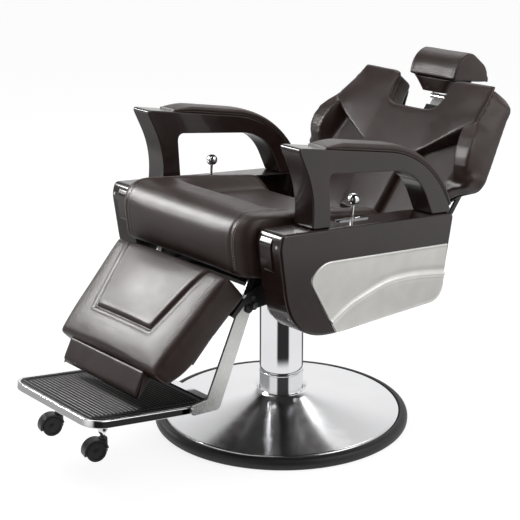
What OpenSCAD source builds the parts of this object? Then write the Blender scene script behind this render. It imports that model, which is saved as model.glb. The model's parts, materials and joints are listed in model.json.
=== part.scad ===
// Hydraulic barber chair: round pedestal base with a foot pump, reclining back,
// linked leg rest and castored footrest. Millimetres, +Z up, origin on the floor
// under the column. The footrest points to -Y and the sitter's left is +X.

/* [Base] */
// Outer radius of the rubber base ring
base_r = 345; // [320:5:360]
// Height of the dish where it meets the collar
dish_h = 84; // [78:1:90]
// Outer radius of the chromed column sleeve
sleeve_r = 59; // [57:1:62]
// Height of the seam between the fixed collar and the sliding sleeve
seam_z = 140; // [130:1:150]
// Reach of the pump pedal from the column axis
pedal_reach = 262; // [240:1:280]
// Direction of the pump pedal round the column, from +X
pedal_turn = 139; // [120:1:150]

/* [Seat] */
// Backward lean of the whole seat group
seat_tilt = 5.3; // [3:0.1:7]
// Half width of the seat cushion
seat_half = 249; // [244:1:250]
// Height of the seat pan at its lowest line
pan_z = 598; // [590:1:606]
// Height of the side bolsters of the seat
bolster_z = 645; // [635:1:652]

/* [Sides] */
// Inner face of the side housings, from the middle
housing_in = 253; // [252:1:254]
// Outer face of the side housings, from the middle
housing_out = 336; // [332:1:342]
// Wall thickness of the side housings
housing_wall = 4; // [3:0.5:5]
// Inner face of the armrests, from the middle
arm_in = 256; // [255:1:258]
// Outer face of the armrests, from the middle
arm_out = 324; // [320:1:328]
// Thickness of the armrest pad over the arm
pad_thick = 20; // [16:1:24]

/* [Back] */
// Recline of the back from the upright of the seat group
back_angle = 33.5; // [30:0.5:36]
// Depth of the back from its front plane to its rear face
back_depth = 84; // [78:1:88]

/* [Leg rest] */
// Slope of the leg rest pad from the upright of the seat group
leg_angle = 41.3; // [39:0.1:43]
// Slope of the flat leg bars
bar_angle = 20.4; // [20:0.1:20.8]
// Thickness of the flat leg bars
bar_thick = 6; // [4:0.5:6]
// Upward slope of the footrest towards its front
foot_tilt = 3.1; // [2:0.1:4]
// Half width of the footrest frame
foot_half = 176; // [172:1:176]
// Length of the footrest frame
foot_len = 288; // [280:1:292]
// Radius of the castor wheels
wheel_r = 25; // [23:0.5:26]

/* [Hidden] */
$fn = 64;
tilt_z = 360;              // the seat group leans about this height
back_pivot = [232, 530];   // y and z of the back hinge in the seat group
bar_pivot = [-240, 498];   // pivot of the leg bars
pad_pivot = [-296, 438];   // pivot of the leg rest pad
foot_pivot = [-433, 162];  // pivot of the footrest on the leg bars
lever_pivot = [-41, 560];  // pivot of the hand levers
crank = 56;                // lower arm of the back hinge
leg_crank = crank / 0.6;   // matching arm on the leg bars
link_x = 196;              // inner face of the drive links
ram_r = 26;
dish_in = 56;              // bore of the dish round the pump
plate_z = 398;             // underside of the chassis plate
hub_r = 62;
arm_foot = 619;            // top of the side housings
lever_x = 275;
castor_place = [95, -202]; // castor stems in the footrest's own frame
castor_trail = [-5, -19.3]; // how far a castor's axle trails its stem
stem_h = 86;               // from the footrest's underside to a castor's axle
pedal_pivot_r = 84;
pedal_pivot_z = 114;
back_front = -1.5;         // the back's front plane in its own frame
back_rear = back_front + back_depth;
head_pivot = [0, 89, 456]; // the headrest's tilt pivot in the back's frame

// ---- helpers -------------------------------------------------------------

function mix(a, b, t) = a + (b - a) * t;
function clamp(t) = max(0, min(1, t));
function smooth(t) = let (c = clamp(t)) c * c * (3 - 2 * c);
function unit(v) = v / norm(v);

// Closed outline from corners [a, b, cut]: each corner is a curve between the
// points that lie cut away from it on its two edges
function rounded(c) = let (n = len(c)) [
  for (i = [0 : n - 1])
    let (
      a = c[(i + n - 1) % n], b = c[i], d = c[(i + 1) % n],
      p = [b[0], b[1]],
      t1 = p + unit([a[0], a[1]] - p) * b[2],
      t2 = p + unit([d[0], d[1]] - p) * b[2],
      k = b[2] < 12 ? 2 : b[2] < 60 ? 4 : 8
    )
    for (j = [0 : k])
      let (s = j / k)
      (1 - s) * (1 - s) * t1 + 2 * s * (1 - s) * p + s * s * t2
];

function area(p) = let (n = len(p)) [for (i = 0, s = 0; i <= n;
  s = i < n ? s + p[i][0] * p[(i + 1) % n][1] - p[(i + 1) % n][0] * p[i][1] : s, i = i + 1) s][n];
function ccw(p) = area(p) > 0 ? p : [for (i = [len(p) - 1 : -1 : 0]) p[i]];

// Outline moved inwards by d along its own normals
function inset(p, d) = let (n = len(p)) [
  for (i = [0 : n - 1])
    let (t = unit(p[(i + 1) % n] - p[(i + n - 1) % n]))
    p[i] + d * [-t[1], t[0]]
];

// Point at t of 0 to 1 on a smooth curve through the points p
function through(p, t) = let (
  n = len(p) - 1, k = min(floor(t * n), n - 1), s = t * n - k,
  a = p[max(k - 1, 0)], b = p[k], c = p[k + 1], d = p[min(k + 2, n)]
) b + 0.5 * s * (c - a + s * (2 * a - 5 * b + 4 * c - d + s * (3 * b - a - 3 * c + d)));

// Solid skin over rings of equal length, closed by a flat cap at each end
module skin(rings) {
  n = len(rings[0]);
  m = len(rings);
  polyhedron(
    points = [for (r = rings) each r],
    faces = [
      [for (i = [0 : n - 1]) i],
      [for (i = [n - 1 : -1 : 0]) (m - 1) * n + i],
      for (j = [0 : m - 2]) for (i = [0 : n - 1]) let (k = (i + 1) % n)
        each [
          [j * n + i, (j + 1) * n + i, (j + 1) * n + k],
          [j * n + i, (j + 1) * n + k, j * n + k],
        ]
    ]
  );
}

// Plate between x0 and x1 with the outline in y and z, its rims rounded by r0 and r1
module slab(outline, x0, x1, r0, r1, steps = 2) {
  p = ccw(outline);
  first = r0 > 0 ? 0 : steps;
  last = r1 > 0 ? steps : 0;
  skin([
    for (j = [first : steps]) let (a = 90 * j / steps)
      [for (q = inset(p, r0 * (1 - sin(a)))) [x0 + r0 * (1 - cos(a)), q[0], q[1]]],
    for (j = [0 : last]) let (a = 90 * j / steps)
      [for (q = inset(p, r1 * (1 - cos(a)))) [x1 - r1 * (1 - sin(a)), q[0], q[1]]],
  ]);
}

// Plain plate between x0 and x1 with the outline in y and z
module plate_x(outline, x0, x1)
  translate([x0, 0, 0]) rotate([90, 0, 90]) linear_extrude(x1 - x0) polygon(outline);

// Round bar along X between x0 and x1 at y and z
module bar_x(p, r, x0, x1)
  translate([x0, p[0], p[1]]) rotate([0, 90, 0]) cylinder(r = r, h = x1 - x0);

// Padded solid between four curves in x and z: bottom and top run from the
// middle to the side, and side runs from bottom to top. bend moves the columns
// sideways, and front and rear give the depth at a point: x and z, how far out
// its column is, how far up its row is, and how near the rim it lies, 0 to 1
module quilt(bottom, side, top, across, up, front, rear, bend = function(s, v) s) {
  b = function(s) through(bottom, s);
  t = function(s) through(top, s);
  mid = function(v) mix(b(0), t(0), v);
  coons = function(s, v) mix(b(s), t(s), v) + mix(mid(v), through(side, v), s)
    - mix(mix(b(0), b(1), s), mix(t(0), t(1), s), v);
  w = across + 1;
  o = w * (up + 1);
  grid = [for (j = [0 : up]) for (i = [0 : across]) let (
    s = 2 * i / across - 1, v = j / up, q = coons(bend(abs(s), v), v)
  ) [(s < 0 ? -1 : 1) * q[0], q[1], abs(s), v, min(1 - abs(s), 2 * min(v, 1 - v))]];
  edge = [
    for (i = [0 : across - 1]) i,
    for (j = [0 : up - 1]) j * w + across,
    for (i = [across : -1 : 1]) up * w + i,
    for (j = [up : -1 : 1]) j * w,
  ];
  n = len(edge);
  polyhedron(
    points = [
      for (g = grid) [g[0], front(g[0], g[1], g[2], g[3], g[4]), g[1]],
      for (g = grid) [g[0], rear(g[0], g[1], g[2], g[3], g[4]), g[1]],
    ],
    faces = [
      for (j = [0 : up - 1]) for (i = [0 : across - 1]) let (k = j * w + i) each [
        [k, k + w, k + w + 1], [k, k + w + 1, k + 1],
        [o + k, o + k + w + 1, o + k + w], [o + k, o + k + 1, o + k + w + 1],
      ],
      for (i = [0 : n - 1]) let (a = edge[i], c = edge[(i + 1) % n])
        each [[a, c, o + c], [a, o + c, o + a]],
    ]
  );
}
// How much a rim's rounding draws the surface in, from 1 at the rim to 0
function draw_in(rim, reach) = pow(1 - clamp(rim / reach), 2);

// ---- frames of the moving groups ------------------------------------------

module seat_group() translate([0, 0, tilt_z]) rotate([-seat_tilt, 0, 0]) translate([0, 0, -tilt_z]) children();
module back_group() seat_group() translate([0, back_pivot[0], back_pivot[1]]) rotate([-back_angle, 0, 0]) children();
module head_group() back_group() translate(head_pivot) children();
module pad_group() seat_group() translate([0, pad_pivot[0], pad_pivot[1]]) rotate([-leg_angle, 0, 0]) children();
module bar_group() seat_group() translate([0, bar_pivot[0], bar_pivot[1]]) rotate([-bar_angle, 0, 0]) children();
module foot_group() seat_group() translate([0, foot_pivot[0], foot_pivot[1]]) rotate([-foot_tilt, 0, 0]) children();
module pedal_group() rotate([0, 0, pedal_turn]) translate([pedal_pivot_r, 0, pedal_pivot_z]) children();
module both() { children(); mirror([1, 0, 0]) children(); }

// ---- base and pump ---------------------------------------------------------

module base_ring()
  color([0.11, 0.10, 0.10]) rotate_extrude($fn = 96) polygon([
    [base_r - 29, 0], [base_r - 6, 0], [base_r, 5], [base_r, 15], [base_r - 3, 23],
    [base_r - 10, 28], [base_r - 19, 30], [base_r - 22, 27], [base_r - 22, 10], [base_r - 29, 8],
  ]);

// Height of the dish's upper surface at a radius: a shallow cone, a little hollow
function dish_z(r) = let (t = (r - dish_in - 8) / (base_r - 31 - dish_in))
  dish_h - 8 * smooth(t * 12) - (dish_h - 38) * pow(clamp(t), 0.7);

module base_dish() {
  radii = concat([for (d = [8, 14, 22, 34]) dish_in + d], [120, 160, 200, 240, 280, base_r - 35]);
  out = [for (r = radii) [r, dish_z(r)]];
  rim = [[base_r - 27, dish_z(base_r - 35) - 3], [base_r - 22.4, 24], [base_r - 22.4, 10.2]];
  skin_t = 3;
  color([0.82, 0.82, 0.84]) rotate_extrude($fn = 96) polygon(concat(
    [[dish_in, dish_h]], out, rim,
    [[base_r - 25.4, 10.2], [base_r - 25.4, 22]],
    [for (i = [len(out) - 1 : -1 : 0]) out[i] - [0, skin_t]],
    [[dish_in, dish_h - skin_t]]
  ));
}

flange_r = 95;
bolt_ring = 78;
module base_plate()
  color([0.2, 0.2, 0.21]) difference() {
    translate([0, 0, 3]) cylinder(r = base_r - 30, h = 7, $fn = 96);
    for (a = [0 : 60 : 300]) rotate([0, 0, a]) translate([bolt_ring, 0, 2]) cylinder(r = 5.5, h = 10);
  }

module base_bolts()
  color([0.6, 0.6, 0.62]) for (a = [0 : 60 : 300]) rotate([0, 0, a]) translate([bolt_ring, 0, 0]) {
    translate([0, 0, 4]) cylinder(r = 5, h = 14.5);
    translate([0, 0, 18.5]) cylinder(r = 9, h = 7, $fn = 6);
  }

module pump_cylinder()
  color([0.75, 0.75, 0.77]) difference() {
    union() {
      translate([0, 0, 10]) cylinder(r = flange_r, h = 8);
      translate([0, 0, 18]) cylinder(r1 = 64, r2 = 50, h = 14);
      translate([0, 0, 30]) cylinder(r = 50, h = 342);
    }
    translate([0, 0, 26]) cylinder(r = ram_r + 0.05, h = 350);
    for (a = [0 : 60 : 300]) rotate([0, 0, a]) translate([bolt_ring, 0, 8]) cylinder(r = 5.5, h = 12);
  }

module pump_collar()
  color([0.82, 0.82, 0.84]) rotate_extrude() polygon([
    [50, dish_h], [sleeve_r + 6, dish_h], [sleeve_r + 5, dish_h + 2], [sleeve_r + 2, dish_h + 4.5],
    [sleeve_r + 0.8, dish_h + 8], [sleeve_r + 0.8, seam_z - 2], [sleeve_r - 1, seam_z], [50, seam_z],
  ]);

module column_sleeve()
  color([0.85, 0.85, 0.87]) rotate_extrude() polygon([
    [52, seam_z + 1], [sleeve_r - 2, seam_z + 1], [sleeve_r, seam_z + 3], [sleeve_r, 388], [52, 388],
  ]);

module pump_ram()
  color([0.8, 0.8, 0.82]) {
    translate([0, 0, 62]) cylinder(r = ram_r, h = 322);
    translate([0, 0, 376]) cylinder(r = 52, h = 8);
    translate([0, 0, 384]) cylinder(r = 22, h = 34);
  }

module thrust_washer()
  color([0.55, 0.5, 0.35]) translate([0, 0, 384.2]) difference() {
    cylinder(r = 48, h = 8);
    translate([0, 0, -1]) cylinder(r = 22.4, h = 10);
  }

// ---- pump pedal ------------------------------------------------------------

module pedal_bracket()
  color([0.3, 0.3, 0.31]) rotate([0, 0, pedal_turn]) {
    for (s = [-1, 1]) translate([0, s * 17 - 3, 0]) difference() {
      translate([0, 6, 0]) rotate([90, 0, 0]) linear_extrude(6) polygon([
        [54, dish_h + 15], [pedal_pivot_r + 8, pedal_pivot_z - 10], [pedal_pivot_r + 10, pedal_pivot_z + 4],
        [pedal_pivot_r, pedal_pivot_z + 12], [54, seam_z - 6],
      ]);
      cylinder(r = sleeve_r + 0.9, h = 200);
    }
    translate([pedal_pivot_r, 22, pedal_pivot_z]) rotate([90, 0, 0]) cylinder(r = 5, h = 44);
  }

pedal_rise = 30;
module pedal_lever()
  color([0.8, 0.8, 0.82]) pedal_group() difference() {
    union() {
      rotate([90, 0, 0]) translate([0, 0, -12]) cylinder(r = 12, h = 24);
      translate([0, 8, 0]) rotate([90, 0, 0]) linear_extrude(16) polygon([
        [0, -10], [30, -9], [90, pedal_rise - 16], [pedal_reach - pedal_pivot_r, pedal_rise - 6],
        [pedal_reach - pedal_pivot_r, pedal_rise + 2], [88, pedal_rise - 4], [26, 11], [0, 11],
      ]);
      translate([pedal_reach - pedal_pivot_r - 34, -40, pedal_rise + 1.5]) cube([34, 80, 4]);
    }
    rotate([90, 0, 0]) translate([0, 0, -30]) cylinder(r = 5.05, h = 60);
  }

module pedal_pad()
  color([0.1, 0.1, 0.1]) pedal_group() translate([pedal_reach - pedal_pivot_r - 36, -44, pedal_rise + 5.5]) {
    cube([38, 88, 5]);
    for (i = [0 : 5]) translate([3 + i * 6, 4, 5]) cube([3, 80, 1.6]);
  }

// ---- chassis ---------------------------------------------------------------

module swivel_hub()
  color([0.25, 0.25, 0.26]) difference() {
    translate([0, 0, 392.5]) cylinder(r = hub_r, h = 30);
    seat_group() translate([-100, -100, plate_z - 0.02]) cube([200, 200, 60]);
    translate([0, 0, 380]) cylinder(r = 22.05, h = 60);
  }

side_in = 244;             // inner face of the chassis side plates
front_in = 204;            // inner face of the front hanger plates
rail = 25;
module seat_plate()
  color([0.17, 0.17, 0.18]) seat_group() difference() {
    union() {
      translate([-side_in, -150, plate_z]) cube([2 * side_in, 300, 10]);
      both() plate_x([[-136, plate_z + 9], [-104, plate_z + 9], [-110, 440], [-130, 440]], 8, 14);
      bar_x(cyl_base, 5, -14, 14);
    }
    translate([0, 0, 380]) cylinder(r = 30, h = 60);
    for (x = [-45, 45]) for (y = [-45, 45]) translate([x, y, 380]) cylinder(r = 5.2, h = 60);
  }

// Side plates joined by two rails, and the hangers of the leg rest on the plate
module chassis() {
  side_profile = [
    [-150, plate_z], [150, plate_z], [252, 500], [252, 536], [240, 550], [222, 550], [150, 528],
    [-180, 528], [-190, 500], [-170, 470], [-170, plate_z],
  ];
  front_profile = [
    [-60, plate_z + 10], [-150, plate_z + 10], [-150, plate_z], [-180, plate_z], [-304, 428], [-306, 440], [-298, 447],
    [-262, 466], [-256, 500], [-248, 510], [-234, 512], [-222, 500], [-190, 450], [-60, plate_z + 22],
  ];
  color([0.16, 0.16, 0.17]) seat_group() difference() {
    union() {
      both() {
        plate_x(side_profile, side_in, side_in + 6);
        plate_x(front_profile, front_in, front_in + 6);
      }
      for (y = [-172, 78]) translate([-side_in - 3, y, 528 - rail]) cube([2 * side_in + 6, rail, rail]);
    }
    bar_x(back_pivot, 9.05, -300, 300);
    bar_x(bar_pivot, 7.05, -300, 300);
    bar_x(pad_pivot, 5.05, -300, 300);
    both() for (p = boss_points) bar_x(p, 3.5, side_in - 2, side_in + 8);
  }
}

module chassis_bolts()
  color([0.6, 0.6, 0.62]) seat_group() for (x = [-45, 45]) for (y = [-45, 45]) translate([x, y, 0]) {
    translate([0, 0, plate_z + 10]) cylinder(r = 9, h = 6, $fn = 6);
    translate([0, 0, plate_z]) cylinder(r = 5, h = 10);
  }

// ---- side housings ---------------------------------------------------------

housing_corners = [
  [-321, 619, 12], [-329, 588, 16], [-272, 352, 130], [-110, 354, 30], [252, 389, 48], [272, 619, 15],
];
housing_edge = 8;          // thickness of the outer face
boss_points = [[-158, 484], [-150, 430], [170, 450], [200, 492]];
front_screws = [[-325.5, 588, 90], [-269.1, 408.1, 127.8]];
module front_screw(p, r, h) translate([322, p[0], p[1]]) rotate([p[2], 0, 0]) cylinder(r = r, h = h);
// Moulded shell, open towards the seat: a rim wall and an outer face with a
// rounded edge. Screw bosses and the hand lever's pin stand inside it, and a
// raised strip runs down its front
module side_housing() {
  outline = ccw(rounded(housing_corners));
  face_in = housing_out - housing_edge;
  color([0.17, 0.14, 0.13]) seat_group() {
    difference() {
      plate_x(outline, housing_in, face_in);
      plate_x(inset(outline, housing_wall), housing_in - 1, face_in + 1);
      translate([lever_x - 6, lever_pivot[0] - 34, arm_foot - 20]) cube([12, 68, 40]);
      for (y = [-200, 235]) translate([290, y, arm_foot - 20]) cylinder(r = 5.2, h = 40);
      for (p = front_screws) front_screw(p, 3.6, 20);
    }
    slab(outline, face_in, housing_out, 0, housing_edge - 0.5, 3);
    for (p = boss_points) difference() {
      bar_x(p, 9, side_in + 6, face_in + 2);
      bar_x(p, 3, side_in + 5, face_in - 20);
    }
    bar_x(lever_pivot, 5, lever_x - 12, face_in + 2);
    plate_x([[-320, 602], [-327, 601], [-331, 588], [-322, 536], [-312, 530], [-315, 560]], 276, 314);
  }
}
module side_housing_left() side_housing();
module side_housing_right() mirror([1, 0, 0]) side_housing();

// Pressed metal inlay with a rolled rim and a swept ridge
ridge_top = [115, 469];
function ridge_z(y) = ridge_top[1] - (y < ridge_top[0] ? 0.00125 : 0.0005) * pow(y - ridge_top[0], 2);
module housing_inlay() {
  corners = [[257, 541, 3], [-190, 541, 34], [-229, 499, 21], [-126, 357, 3], [252, 391, 46]];
  outline = ccw(rounded(corners));
  steps = 20;
  face = housing_out + 3;
  color([0.66, 0.66, 0.64]) seat_group() {
    slab(outline, housing_out + 0.05, face, 0.3, 1, 1);
    skin([for (i = [0 : steps]) let (y = mix(-138, 252, i / steps), z = ridge_z(y))
      [[face - 1, y, z + 8], [face + 2.5, y, z + 4], [face + 2.5, y, z - 4], [face - 1, y, z - 8]]]);
    for (run = [[[250, 538], [-186, 538]], [[-215, 476], [-132, 366]]])
      let (d = unit(run[1] - run[0]), w = [-d[1], d[0]] * 3)
      skin([for (p = run) [for (k = [[-1, 1], [1.5, 0], [-1, -1]]) [face + k[0], p[0] + k[1] * w[0], p[1] + k[1] * w[1]]]]);
  }
}
module housing_inlay_left() housing_inlay();
module housing_inlay_right() mirror([1, 0, 0]) housing_inlay();

// Two screws show on each housing's front, and four hold it to the chassis
module housing_screws()
  color([0.7, 0.7, 0.7]) seat_group() both() {
    for (p = front_screws) front_screw(p, 3.5, 3);
    for (p = boss_points) {
      bar_x(p, 3, side_in, side_in + 30);
      bar_x(p, 6, side_in - 4, side_in);
    }
  }

// ---- armrests --------------------------------------------------------------

arm_rim = 3.5;             // rounding of the arm's four edges
arm_low = arm_foot + 0.2;
foot_front = [-219, arm_low];
foot_back = [-158, arm_low];
knee = [-217, 700];
tip = [-286, 818];
shoulder = [168, 777];
heel = [275, arm_low];
heel_in = [199, arm_low];
window_front = [-178, 751];
window_rear = [130, 738];

// Point at t of 0 to 1 round a corner b between a and c, which starts cut away from it
function bend(a, b, c, cut, t) = let (t1 = b + unit(a - b) * cut, t2 = b + unit(c - b) * cut)
  (1 - t) * (1 - t) * t1 + 2 * t * (1 - t) * b + t * t * t2;
function bent(t) = bend(tip, shoulder, heel, 150, t);
function knee_at(t) = bend(foot_front, knee, tip, 70, t);
function tip_at(t) = bend(knee, tip, shoulder, 18, t);
function front_at(t) = bend(foot_back, window_front, window_rear, 24, t);
function rear_at(t) = bend(window_front, window_rear, heel_in, 85, t);

// Sections of the arm, each from its inner edge to its outer edge in y and z
arm_sections = concat(
  [[foot_back, foot_front]],
  [for (k = [0 : 5]) [mix(foot_back, front_at(0), (k + 1) / 7), knee_at(k / 5)]],
  [for (k = [0 : 6]) [front_at(k / 12), tip_at(k / 6)]],
  [for (k = [1 : 4]) [front_at(0.5 + k / 8), mix(tip_at(1), bent(0), k / 12)]],
  [for (k = [1 : 4]) [mix(front_at(1), rear_at(0), k / 4), mix(tip_at(1), bent(0), 1 / 3 + k / 6)]],
  [for (k = [1 : 12]) [rear_at(k / 12), bent(k / 12)]],
  [[heel_in, heel]]
);
module armrest()
  color([0.15, 0.12, 0.11]) seat_group() skin([
    for (q = arm_sections) let (e = unit(q[1] - q[0]), r = arm_rim, a = q[0], b = q[1], k = r * 0.3)
      [for (c = [
        [arm_in + r, a], [arm_in + k, a + k * e], [arm_in, a + r * e], [arm_in, b - r * e],
        [arm_in + k, b - k * e], [arm_in + r, b], [arm_out - r, b], [arm_out - k, b - k * e],
        [arm_out, b - r * e], [arm_out, a + r * e], [arm_out - k, a + k * e], [arm_out - r, a],
      ]) [c[0], c[1][0], c[1][1]]]
  ]);
module armrest_left() armrest();
module armrest_right() mirror([1, 0, 0]) armrest();

// Points along the top of the arm under its pad, over the bend at its shoulder
function arm_top(t) =
  t < 0.4 ? mix(bent(0) + unit(bent(0) - shoulder) * 214, bent(0), t / 0.4)
  : t < 0.95 ? bent((t - 0.4) / 0.55)
  : bent(1) + unit(bent(1) - shoulder) * (t - 0.95) * 400;
module arm_pad() {
  n = 18;
  w = (arm_out - arm_in) / 2 - 3;
  xm = (arm_out + arm_in) / 2;
  color([0.16, 0.13, 0.12]) seat_group() skin([
    for (i = [0 : n])
      let (
        t = i / n, p = arm_top(t), d = unit(arm_top(min(1, t + 0.01)) - arm_top(max(0, t - 0.01))),
        up = [-d[1], d[0]], swell = 0.25 + 0.75 * sin(90 * clamp(t * 7 + 0.05)),
        h = pad_thick * swell * (1 - 0.35 * smooth((t - 0.85) / 0.15))
      )
      [for (a = [180 : -20 : 0])
        let (c = cos(a), s = pow(abs(sin(a)), 0.6), q = p + up * (0.02 + smooth((t - 0.36) / 0.1) + h * s))
        [xm - w * c * (abs(c) > 0.99 ? 1 : 1.02), q[0], q[1]]]
  ]);
}
module arm_pad_left() arm_pad();
module arm_pad_right() mirror([1, 0, 0]) arm_pad();

module arm_bolts()
  color([0.6, 0.6, 0.62]) seat_group() both() for (y = [-200, 235]) translate([290, y, 0]) {
    translate([0, 0, arm_foot - 11]) cylinder(r = 8, h = 6.8, $fn = 6);
    translate([0, 0, arm_foot - 5]) cylinder(r = 5, h = 5);
  }

// ---- hand levers -----------------------------------------------------------

module lever_plates()
  color([0.8, 0.8, 0.82]) seat_group() both() difference() {
    hull() for (y = [-92, 0]) translate([lever_x, lever_pivot[0] + 5 + y + 41, arm_foot + 0.1]) cylinder(r = 9, h = 2.5, $fn = 32);
    translate([lever_x - 5, lever_pivot[0] - 30, arm_foot - 2]) cube([10, 60, 10]);
  }

module lever_left()
  color([0.8, 0.8, 0.82]) seat_group() translate([lever_x, lever_pivot[0], 0]) difference() {
    union() {
      translate([0, 0, lever_pivot[1]]) cylinder(r = 4, h = 98);
      bar_x([0, lever_pivot[1]], 10, -9, 9);
    }
    bar_x([0, lever_pivot[1]], 5.05, -20, 20);
  }
module lever_right() mirror([1, 0, 0]) lever_left();

module lever_ball_left()
  color([0.85, 0.85, 0.87]) seat_group() translate([lever_x, lever_pivot[0], 669]) difference() {
    sphere(r = 15.5);
    translate([0, 0, -20]) cylinder(r = 4, h = 9);
    translate([0, 0, -11.1]) cylinder(r = 4, h = 1);
  }
module lever_ball_right() mirror([1, 0, 0]) lever_ball_left();

// ---- seat ------------------------------------------------------------------

module seat_board()
  color([0.55, 0.42, 0.28]) seat_group() translate([-236, -214, 528.2]) cube([472, 338, 14]);

// Seat section at x: front roll, sunken pan, side bolsters and rounded rear.
// The front corners turn back in plan and the ends are drawn in at the top
corner_r = 40;
module seat_cushion() {
  steps = 9;
  xs = [for (i = [-steps : steps]) seat_half * sin(90 * i / steps) * (0.55 + 0.45 * abs(sin(90 * i / steps)))];
  section = function(x) let (
    k = smooth((abs(x) - 165) / 60),
    pan = mix(pan_z, bolster_z, k),
    end = clamp((abs(x) - seat_half + corner_r) / corner_r),
    back_off = corner_r * (1 - sqrt(1 - end * end)),
    down = 6 * pow(end, 4)
  ) [for (q = rounded([
      [-350, 494, 12], [-388, 648, 62], [-212, mix(640, bolster_z, k), 16], [-176, pan + 2, 18],
      [96, mix(pan_z - 6, bolster_z - 18, k), 34], [126, 542.5, 8], [-240, 542.5, 8], [-269, 494, 8],
    ])) [q[0] + back_off * smooth((-270 - q[0]) / 60), q[1] - down * smooth((q[1] - 560) / 40)]];
  color([0.17, 0.14, 0.13]) seat_group() skin([for (x = xs) [for (q = ccw(section(x))) [x, q[0], q[1]]]]);
}

// ---- back ------------------------------------------------------------------

back_side = [
  [196, 24], [206, 80], [222, 128], [256, 168], [304, 190], [318, 220], [310, 262], [284, 346], [268, 404], [250, 470],
];
panel_side = [
  [66, 32], [69, 110], [72, 170], [104, 238], [147, 268], [199, 300], [252, 344], [258, 400], [243, 466],
];
recess = 24;               // depth of the hollow round the centre panel

// Where the hollow ends and the side bolster starts, as a share of the half width
function bolster_start(u) = mix(0.62, 0.98, smooth((u - 150) / 200));

// Rear cushion: a hollow for the centre panel between two standing bolsters
module back_cushion() {
  col = 9 / 14;
  front = function(x, u, s, v, rim) let (
    face = mix(-4, -28, smooth((472 - u) / 120)) - 34 * smooth((345 - u) / 100) + 46 * smooth((212 - u) / 30),
    step = smooth((s - col) * 14 / 2)
  ) mix(recess, min(face, recess), step) + 14 * draw_in(rim, 0.16);
  rear = function(x, u, s, v, rim) back_rear - 14 - 10 * draw_in(rim, 0.16);
  bend = function(s, v) let (k = bolster_start(24 + 446 * v))
    s < col ? s / col * k : k + (s - col) / (1 - col) * (1 - k);
  color([0.19, 0.16, 0.15]) back_group() quilt([[0, 18], [60, 18], [130, 18], [196, 24]], back_side,
    [[0, 372], [62, 374], [86, 386], [97, 428], [104, 468], [175, 471], [250, 470]], 28, 18, front, rear, bend);
}

// Y-shaped centre panel: its arms come forward towards the sides
module back_panel() {
  front = function(x, u, s, v, rim) back_front + 12 * draw_in(rim, 0.14)
    - 26 * smooth((abs(x) - 95) / 130) * smooth((470 - u) / 140);
  rear = function(x, u, s, v, rim) recess - 0.5;
  color([0.2, 0.17, 0.16]) back_group() quilt([[0, 30], [30, 30], [66, 32]], panel_side,
    [[0, 376], [60, 378], [88, 392], [99, 430], [107, 464], [175, 467], [243, 466]], 20, 16, front, rear);
}

module back_shell() {
  side = [[188, 40], [200, 120], [246, 176], [296, 200], [304, 232], [268, 356], [236, 458], [112, 458], [96, 400], [60, 384]];
  outline = concat([for (p = side) p], [for (i = [len(side) - 1 : -1 : 0]) [-side[i][0], side[i][1]]]);
  color([0.12, 0.11, 0.11]) back_group() translate([0, back_rear, 0]) rotate([90, 0, 0])
    linear_extrude(13.6) polygon(outline);
}

hinge_x = 230;
module back_frame() {
  arm = [[-14, 8], [-6, 15], [40, 60], [96, 96], [200, 96], [200, back_rear + 0.4], [110, back_rear + 0.4], [52, 36], [14, -8], [6, -14], [-10, -12]];
  lower = function(turn, len) [for (p = [[-10, 10], [10, 10], [8, -len], [0, -len - 9], [-8, -len]])
    [p[0] * cos(turn) + p[1] * sin(turn), p[1] * cos(turn) - p[0] * sin(turn)]];
  color([0.2, 0.2, 0.21]) back_group() difference() {
    union() {
      both() plate_x([for (p = arm) [p[1], p[0]]], hinge_x, hinge_x + 6);
      bar_x([0, 0], 13, -hinge_x - 3, hinge_x + 3);
      both() plate_x(lower(bar_angle - back_angle, crank), link_x - 7, link_x - 1);
      plate_x(lower(-5 - back_angle, crank), -5, 5);
      for (u = [118, 186]) translate([-hinge_x - 3, back_rear + 0.4, u - 10]) cube([2 * hinge_x + 6, 4, 20]);
    }
    bar_x([0, 0], 9.05, -300, 300);
    both() bar_x(crank_at(bar_angle - back_angle), 5.05, link_x - 20, link_x + 5);
    bar_x(crank_at(-5 - back_angle), 5.05, -20, 20);
  }
}
// End of the lower arm at a turn in the back's own frame
function crank_at(turn) = [-crank * sin(turn), -crank * cos(turn)];

module headrest_socket()
  color([0.16, 0.16, 0.17]) back_group() difference() {
    translate([-30, back_rear + 0.2, 330]) cube([60, 14, 95]);
    translate([-20.2, back_rear + 2.8, 320]) cube([40.4, 8.4, 130]);
  }

post_v = back_rear + 3;    // front face of the headrest post in the back's frame
module headrest_post()
  color([0.82, 0.82, 0.84]) back_group() difference() {
    union() {
      translate([-20, post_v, 346]) cube([40, 8, head_pivot[2] - 346]);
      bar_x([head_pivot[1], head_pivot[2]], 8, -20, 20);
    }
    bar_x([head_pivot[1], head_pivot[2]], 4.05, -25, 25);
  }

// ---- headrest --------------------------------------------------------------

// The headrest's flat underside starts here in the headrest's frame, and turns
// up to the rear by head_slope. under(s, d) lies s along it and d below it
head_front = [-77, 18];
head_slope = 30.2;
function under(s, d) = head_front + [s * cos(head_slope) + d * sin(head_slope), s * sin(head_slope) - d * cos(head_slope)];

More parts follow.
